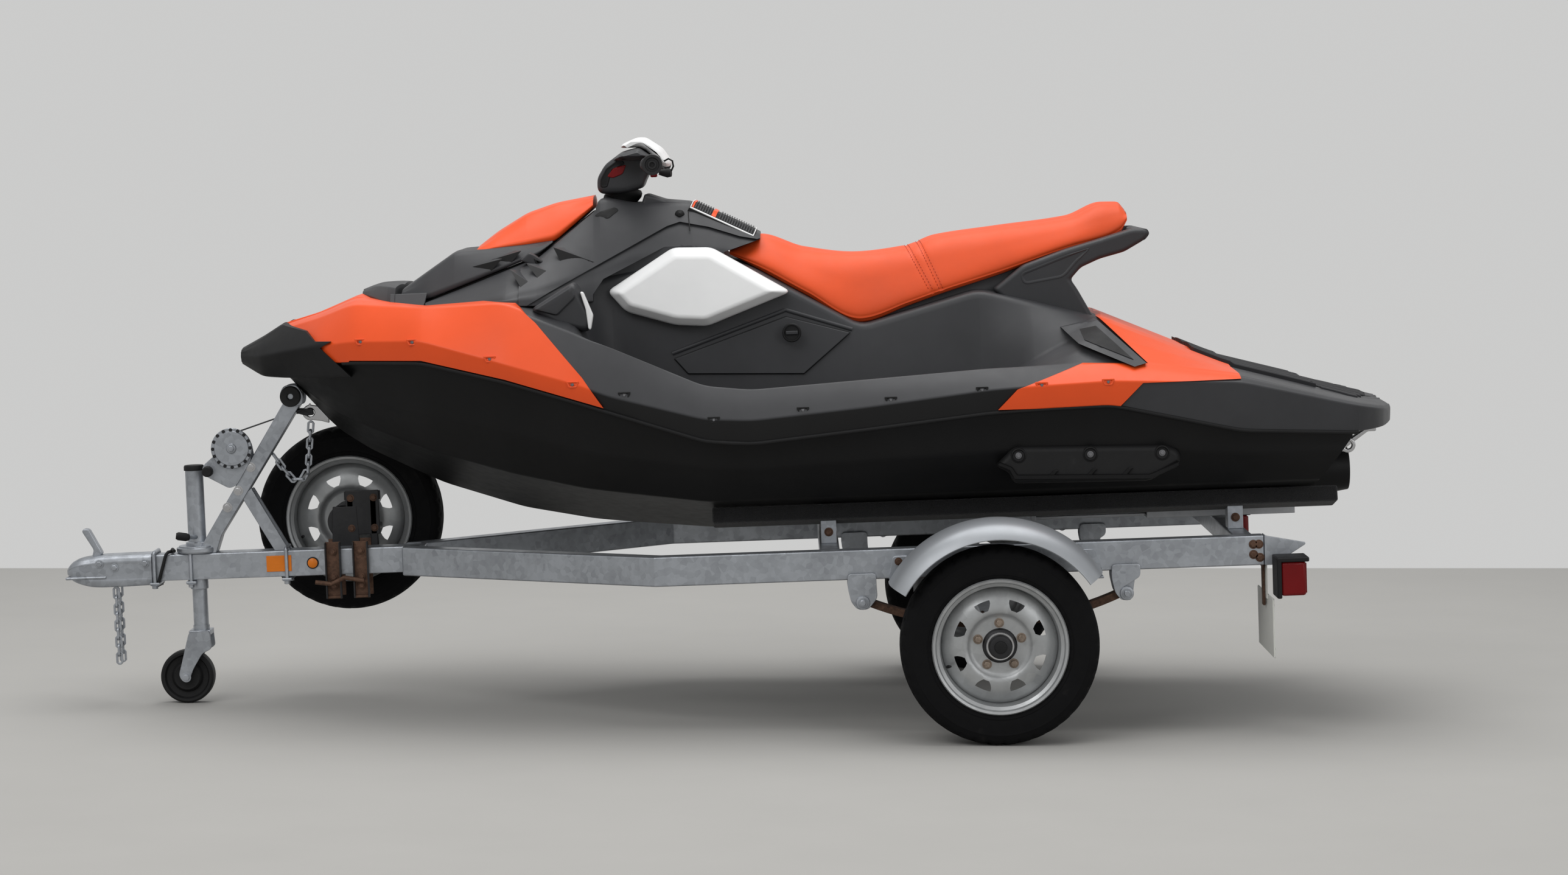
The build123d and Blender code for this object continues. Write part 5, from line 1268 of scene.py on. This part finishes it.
# Springs: hanger cheeks, shackle bolts, axle U-bolts
ROLLER = ((0, 4), (0, 17), (2, 18), (5, 17), (6, 12), (4, 10), (4, 2))
AXLE_U = ((488, 214), (488, 296), (494, 306), (536, 306), (542, 296), (542, 214))
for side, label in SIDES:
    for x, way, end in ((-336, 1, "front"), (336, -1, "rear")):
        tag = f"{label}_{end}"
        cheek = [
            (x - 36, 424), (x + 36, 424), (x + 36, 392), (x + 26 * way + 12, 362), (x + 14, 332),
            (x - 14, 332), (x - 30, 352), (x - 38, 392),
        ]
        cheek_parts = [
            joined([
                [(p[0], side * (y + out * lift), p[1]) for p in rounded(inset(cheek, depth), 10)]
                for depth, lift in ((0, -2), (0, 2), (1.5, 3))
            ])
            for y, out in ((548, 1), (478, -1))
        ]
        piece("hanger_cheeks_" + tag, cheek_parts, **ZINC)
        turned("hanger_rollers_" + tag, [(x, side * 551, 350)], ROLLER, side=side, **ZINC)
        bolts("hanger_bolts_" + tag, [(x, side * 555, 350)], 8.5, 8, (0, side, 0), **ZINC)
    for x, end in ((-30, "a"), (30, "b")):
        tube(f"axle_ubolt_{label}_{end}", [(x, side * y, z) for y, z in AXLE_U], 5.5, 10, **RUSTY)
    boxes("axle_pad_" + label, [((-44, 44), reach(side, 478, 552), (218, 226))], 2, **RUSTY)

# Tongue: U-bolts, clamps, markers, and the spare wheel's plate and posts
for index, (x, out) in enumerate([(-2222, 44), (-2125, 40), (-1868, 40)]):
    bow = ((-out, 396), (-out, 486), (-out + 6, 491), (out - 6, 491), (out, 486), (out, 396))
    tube(f"tongue_ubolt_{index}", [(x, y, z) for y, z in bow], 5, 10, sharp=60, **ZINC)
    boxes(f"tongue_strap_{index}", [((x - 13, x + 13), (-out - 8, out + 8), (404, 411))], **ZINC)
    bolts(f"tongue_nuts_{index}", [(x, y, 404) for y in (-out, out)], 8, 9, (0, 0, -1), **ZINC)
TIE = [
    (-2176, -24, 492), (-2184, -38, 491), (-2190, -42, 484), (-2212, -43, 412), (-2215, -38, 403),
    (-2216, 0, 401), (-2215, 38, 403), (-2212, 43, 412), (-2190, 42, 484), (-2184, 36, 491),
    (-2178, 0, 493), (-2172, -30, 497), (-2166, -44, 494),
]
tube("tongue_tie", TIE, 4.5, sharp=60, **BLACK)
CHANNEL = (((-44, -39), (350, 503)), ((-52, -39), (352, 358)), ((39, 44), (350, 503)))
channels = [(x, y, z) for x in ((-1763, -1721), (-1689, -1647)) for y, z in CHANNEL]
boxes("clamp_channels", channels, **RUSTY)
boxes("clamp_lips", [((x, x + 4), (-58, -40), (352, 502)) for x in (-1763, -1725, -1689, -1651)], 1, **DARK)
bolts("clamp_bolts", [(x, -46, z) for x in (-1742, -1668) for z in (385, 408, 478)], 7, 6, **RUSTY)
CLAMP_PIN = [(-1790, -58, 398), (-1748, -60, 392), (-1712, -60, 408), (-1660, -60, 398)]
tube("clamp_pin", CLAMP_PIN, 6, 10, **RUSTY)
boxes("side_reflector", [((-1922, -1855), (-38, -35), (428, 471))], 1.2, mat=AMBER, **RED)
MARKER_AT = [(-1798, 0, 448)]
turned("marker_lamp", MARKER_AT, [(-35, 16), (-38, 16), (-39, 14.5)], **BLACK)
turned("marker_lens", MARKER_AT, [(-36, 13.5), (-40, 13), (-42.5, 9), (-43.5, 2)], mat=AMBER, **RED)
boxes("spare_plate", [
    ((-1712, -1622), (36, 42), (512, 632)), ((-1716, -1618), (42, 48), (606, 630)),
], 2, **DARK)
boxes("spare_posts", [
    ((-1710, -1690), (36, 60), (480, 620)), ((-1648, -1628), (36, 60), (480, 620)),
    ((-1712, -1626), (60, 140), (520, 536)),
], 3, **DARK)
bolts("spare_plate_bolts", [(x, 36, z) for x in (-1698, -1636) for z in (530, 612)], 7, 6, **RUSTY)

# Coupler with its ball housing and latch lever
COUPLER = [
    (-2462, 9, 436, 12, 444, 8, 452), (-2456, 24, 428, 28, 444, 20, 462),
    (-2444, 34, 420, 38, 444, 28, 472), (-2424, 40, 412, 43, 444, 34, 480),
    (-2396, 42, 404, 44, 444, 38, 484), (-2366, 43, 402, 44, 444, 41, 487),
    (-2300, 42, 402, 43, 444, 42, 488), (-2230, 42, 404, 43, 444, 42, 488),
]
sectioned("ball_coupler", COUPLER, 6, (9, 30, 12), (0, 1, 1, 1), node="coupler", sharp=40, **ZINC)
LATCH = [(-2418, 553), (-2411, 560), (-2398, 558), (-2364, 492), (-2372, 484), (-2394, 480), (-2388, 502)]
across("coupler_lever", LATCH, [(4, 16), (1, 14), (0, 10)], 6, **ZINC)
boxes("coupler_flange", [((-2461, -2352), (-47, 47), (426, 433))], 2.5, **ZINC)
side_bolts("coupler_bolts", 44, ((-2369, 466), (-2329, 455), (-2247, 464)), 8, 6, NEAR_FAR, **ZINC)

# Winch post, brace and hand winch
POST = [(-2108, 484), (-2056, 484), (-2040, 530), (-1812, 876), (-1818, 896), (-1848, 896)]
across("winch_post_bar", POST, [(1.5, 30), (0, 28.5)], 4, node="winch_post", **ZINC)
BRACE = [(-1982, 632), (-1955, 654), (-1868, 496), (-1858, 484), (-1900, 484)]
BRACE_RINGS = ((1, 26), (0, 25), (0, 18), (1, 17))
piece("winch_brace", [joined(raised(BRACE, BRACE_RINGS, 4))], **ZINC)
far_rings = [(depth, -y) for depth, y in reversed(BRACE_RINGS)]
piece("winch_brace_far", [joined(raised(BRACE, far_rings, 4))], **ZINC)
side_bolts("post_bolts", 30, ((-1953, 711), (-1989, 649), (-2020, 605)), 9, 6, NEAR_FAR, **STEEL)
ROLLER_CHEEK = [(-1868, 900), (-1856, 926), (-1820, 930), (-1802, 900), (-1806, 872), (-1846, 868)]
relief("roller_cheeks", ROLLER_CHEEK, [(0, 30), (0, 34), (1.5, 35.5)], 12, **ZINC)
WINCH_SIDE = [
    (-2016, 772), (-2078, 722), (-2084, 706), (-2076, 692), (-2012, 656), (-1992, 664), (-1950, 730),
    (-1956, 772), (-1980, 800),
]
relief("winch_frame", WINCH_SIDE, [(0, 30), (0, 33), (1, 34)], 10, node="winch", **ZINC)
GEAR_X, GEAR_Z = -2000, 764
GEAR_AT = [(GEAR_X, 0, GEAR_Z)]
GEAR = [
    (-36, 4), (-36, 12), (-40, 14), (-40, 44), (-36, 46), (-36, 54), (-44, 55), (-46, 53), (-46, 47),
    (-48, 45), (-48, 14), (-50, 12), (-50, 3),
]
turned("winch_gear", GEAR_AT, GEAR, steps=56, sharp=30, **ZINC)
gear_holes = [(GEAR_X + 50 * a, -46, GEAR_Z + 50 * b) for a, b in circle(16)]
bolts("winch_gear_holes", gear_holes, 3.2, 1, **DARK)
DRUM = [(-34, 3), (-34, 40), (-31, 41), (-30, 24), (30, 24), (31, 41), (34, 40), (34, 3)]
turned("winch_drum", GEAR_AT, DRUM, steps=40, sharp=30, **ZINC)
TURN_LINE = ((0.5, 33), (3.5, 34.5), (6.5, 33))
windings = [(-28, 23), *[(-28 + 7 * i + d, r) for i in range(8) for d, r in TURN_LINE], (28, 23)]
turned("winch_windings", GEAR_AT, windings, steps=40, slot="strap_web", sharp=60)
bolts("winch_axle_bolts", [(GEAR_X, -50, GEAR_Z), (-2016, -34, 752)], 8, 7, **ZINC)
tube("winch_crank", [(-2064, 20, 706), (-2064, -40, 706), (-2064, -58, 706)], 8, 16, **STEEL)
CRANK_BOSS = [(-54, 3), (-54, 13), (-58, 15), (-74, 14), (-77, 11), (-77, 3)]
turned("winch_crank_boss", [(-2064, 0, 706)], CRANK_BOSS, steps=20, **BLACK)

# Jack: cap, collar, ring and handle; caster fork and roller
JACK = {"spots": [(-2110, 0, 0)], "axis": "z"}
JACK_CAP = [(706, 24.5), (706, 27), (716, 27), (720, 25), (721, 4)]
JACK_COLLAR = [(500, 24.5), (500, 31), (512, 31), (514, 28), (514, 24.5)]
JACK_RING = [(486, 26), (486, 54), (489, 56), (498, 56), (500, 54), (500, 26)]
turned("jack_cap", profile=JACK_CAP, steps=32, **JACK, **BLACK)
turned("jack_collars", profile=JACK_COLLAR, steps=32, sharp=30, **JACK, **ZINC)
turned("jack_ring", profile=JACK_RING, steps=40, sharp=30, **JACK, **ZINC)
tube("jack_handle", [(-2110, -22, 528), (-2118, -44, 530), (-2130, -58, 532)], 6, **ZINC)
JACK_GRIP = [(-2124, -56, 531), (-2130, -60, 532), (-2150, -66, 536), (-2156, -67, 537)]
tube("jack_grip", JACK_GRIP, [9, 11, 11, 8], 16, sharp=60, **BLACK)
FORK = {**ZINC, "body": BODY_OF["caster_fork"]}
FORK_SIDE = [
    (-2140, 272), (-2084, 276), (-2080, 226), (-2106, 214), (-2132, 172), (-2146, 138), (-2164, 140),
    (-2172, 158), (-2156, 214),
]
relief("caster_cheeks", FORK_SIDE, [(0, 30), (0, 35), (1, 36.5), (3, 36.5)], 9, node="caster_fork", **FORK)
boxes("caster_bridge", [((-2140, -2082), (-32, 32), (262, 276))], 2, **FORK)
turned("caster_stem", profile=[(270, 4), (270, 22), (288, 22), (289, 4)], steps=28, sharp=30, **JACK, **FORK)
CASTER_X, CASTER_Z = -2152, 151
AXLE_PIN = [(-37, 3), (-37, 7), (37, 7), (37, 3)]
turned("caster_axle", [(CASTER_X, 0, CASTER_Z)], AXLE_PIN, steps=16, sharp=30, **FORK)
CASTER_HALF = [
    (22, 30), (23, 34), (20, 38), (12, 42), (14, 56), (22, 60), (23, 66), (19, 71), (10, 72),
]
CASTER = [*[(-o, r) for o, r in CASTER_HALF], *reversed(CASTER_HALF), (22, 9), (-22, 9)]
caster = ringed([[(CASTER_X + r * a, o, CASTER_Z + r * b) for o, r in CASTER] for a, b in circle(64)])
piece("caster_roller", [caster], body=BODY_OF["caster_wheel"], node="caster_wheel", sharp=34, **BLACK)
side_bolts("caster_bolt", 37, [(CASTER_X, CASTER_Z)], 9, 6, NEAR_FAR, **FORK)

# Lamps, the blank plate, and bolts on rails and bunks
for name, x, (near, far), z, width, how in (
    ("lamp_housings", (708, 720), (545, 640), (332, 430), 3, {**BLACK, "node": "tail_lamps"}),
    ("lamp_hoods", (708, 790), (545, 640), (424, 436), 3, BLACK),
    ("lamp_lenses", (718, 782), (549, 636), (338, 425), 7, RED),
):
    boxes(name, [(x, reach(s, near, far), z) for s in (-1, 1)], width, **how)
ribs = [((780, 784), reach(s, y, y + 3), (344, 420)) for s in (-1, 1) for y in range(556, 630, 10)]
boxes("lamp_ribs", ribs, 1, **RED)
RIM_X = (699, 701.5)
boxes("plate_rim", [
    (RIM_X, (-620, -616), (180, 330)), (RIM_X, (-324, -320), (180, 330)),
    (RIM_X, (-620, -320), (180, 184)), (RIM_X, (-620, -320), (326, 330)),
], 1, slot="plate_white")
bolts("plate_bolts", [(699, y, z) for y in (-600, -340) for z in (200, 312)], 5, 4, (1, 0, 0), **RUSTY)
strap = [((688, 694), (-505, -475), (300, 470)), ((686, 690), (-520, -460), (400, 440))]
boxes("plate_strap", strap, **RUSTY)
RAIL_END = ((662, 462), (676, 462), (662, 436), (678, 428))
side_bolts("rail_end_bolts", 541, RAIL_END, 8, 7, **RUSTY)
side_bolts("bunk_bolts", 357, [(x, 514) for x in (-415, 640)], 8, 6, **RUSTY)

# Solids that keep their shape, with rounded edges: width of the edge in millimetres
LOOKS = {"leaf_springs": RUST, "spare_bracket": DARK_STEEL}
EDGES = {
    "traction_mats": 2, "jet_pump": 1.5, "impeller": 1, "steering_nozzle": 1.5, "ride_plate": 1.5,
    "boarding_step": 3, "rails": 4, "crossmembers": 4, "tongue": 4, "jack_tube": 1.5, "jack_leg": 1,
    "chains": 1.5, "bow_roller": 4, "lashing_eyes": 3, "winch_strap": 0.6, "spare_bracket": 2, "axle": 3,
    "leaf_springs": 1.5, "spring_hangers": 1.5, "bunks": 6, "brackets": 1.5, "plate": 0.6,
    "access_panels": 2, "engine_block": 3,
}
ANGLES = {"traction_mats": 25, "access_panels": 18}
FLAT_ANGLE = radians(0.6)
for node, width in EDGES.items():
    mesh = NODES[node].data.copy()
    bm = bmesh.new()
    bm.from_mesh(mesh)
    bmesh.ops.remove_doubles(bm, verts=bm.verts, dist=WELD)
    bmesh.ops.dissolve_limit(bm, angle_limit=FLAT_ANGLE, verts=bm.verts, edges=bm.edges)
    for face in bm.faces:
        face.smooth = True
    bm.to_mesh(mesh)
    bm.free()
    obj = linked(node + "_finish", mesh)
    soften(obj, width, ANGLES.get(node, 30), 3)
    finish_piece(obj, BODY_OF[node], SLOT_OF[node], node, LOOKS.get(node))

# Floor
FLOOR_SIDE = 14
FLOOR_END = 3.2
FLOOR_GREY = (0.4, 0.39, 0.37)
floor_mesh = bpy.data.meshes.new("floor")
FLOOR_CORNERS = ((-1, -FLOOR_SIDE), (1, -FLOOR_SIDE), (1, FLOOR_END), (-1, FLOOR_END))
floor_mesh.from_pydata([(side * FLOOR_SIDE, y, 0) for side, y in FLOOR_CORNERS], [], [(0, 1, 2, 3)])
floor = linked("floor", floor_mesh)
floor_look = Finish("floor")
floor_look.tint(floor_look.noise(3, 6), (0.3, FLOOR_GREY, 0.985), (0.7, FLOOR_GREY, 1.015))
floor_mesh.materials.append(floor_look.done(Roughness=0.9))

# Even light from the world, which shows as a pale wall
scene = bpy.context.scene
world = bpy.data.worlds.new("studio")
scene.world = world
world.use_nodes = True
sky = world.node_tree
light = sky.nodes["Background"]
wall = sky.nodes.new("ShaderNodeBackground")
for source, colour, strength in ((light, (0.96, 0.98, 1, 1), 0.46), (wall, (0.6, 0.6, 0.595, 1), 1.0)):
    source.inputs["Color"].default_value = colour
    source.inputs["Strength"].default_value = strength
path = sky.nodes.new("ShaderNodeLightPath")
shown = sky.nodes.new("ShaderNodeMixShader")
seen = path.outputs["Is Camera Ray"]
for ray in ("Is Glossy Ray", "Is Transmission Ray"):
    either = sky.nodes.new("ShaderNodeMath")
    either.operation = "MAXIMUM"
    sky.links.new(seen, either.inputs[0])
    sky.links.new(path.outputs[ray], either.inputs[1])
    seen = either.outputs["Value"]
sky.links.new(seen, shown.inputs["Fac"])
sky.links.new(light.outputs["Background"], shown.inputs[1])
sky.links.new(wall.outputs["Background"], shown.inputs[2])
sky.links.new(shown.outputs["Shader"], sky.nodes["World Output"].inputs["Surface"])

# Lamps and camera
for name, place, aim, size, power in (
    ("key", (-3.5, -5.5, 6.0), (0, 0, 0.7), (5, 4), 190),
    ("top", (0.5, 0.5, 6.5), (0, 0, 0.5), (7, 5), 330),
    ("fill", (5, -6.5, 3.0), (0.5, 0, 0.7), (4, 3), 70),
):
    lamp = bpy.data.lights.new(name, "AREA")
    lamp.shape = "RECTANGLE"
    lamp.size, lamp.size_y = size
    lamp.energy = power
    holder = linked(name, lamp)
    holder.location = place
    holder.rotation_euler = (Vector(aim) - Vector(place)).to_track_quat("-Z", "Y").to_euler()

CAMERA_TILT = 4.48
camera = bpy.data.cameras.new("camera")
camera.sensor_width = 36
camera.lens = 85.8
eye = linked("camera", camera)
eye.location = (0.171415, -10, 1.5)
eye.rotation_euler = (radians(90 - CAMERA_TILT), 0, 0)
scene.camera = eye
scene.view_settings.view_transform = "Standard"
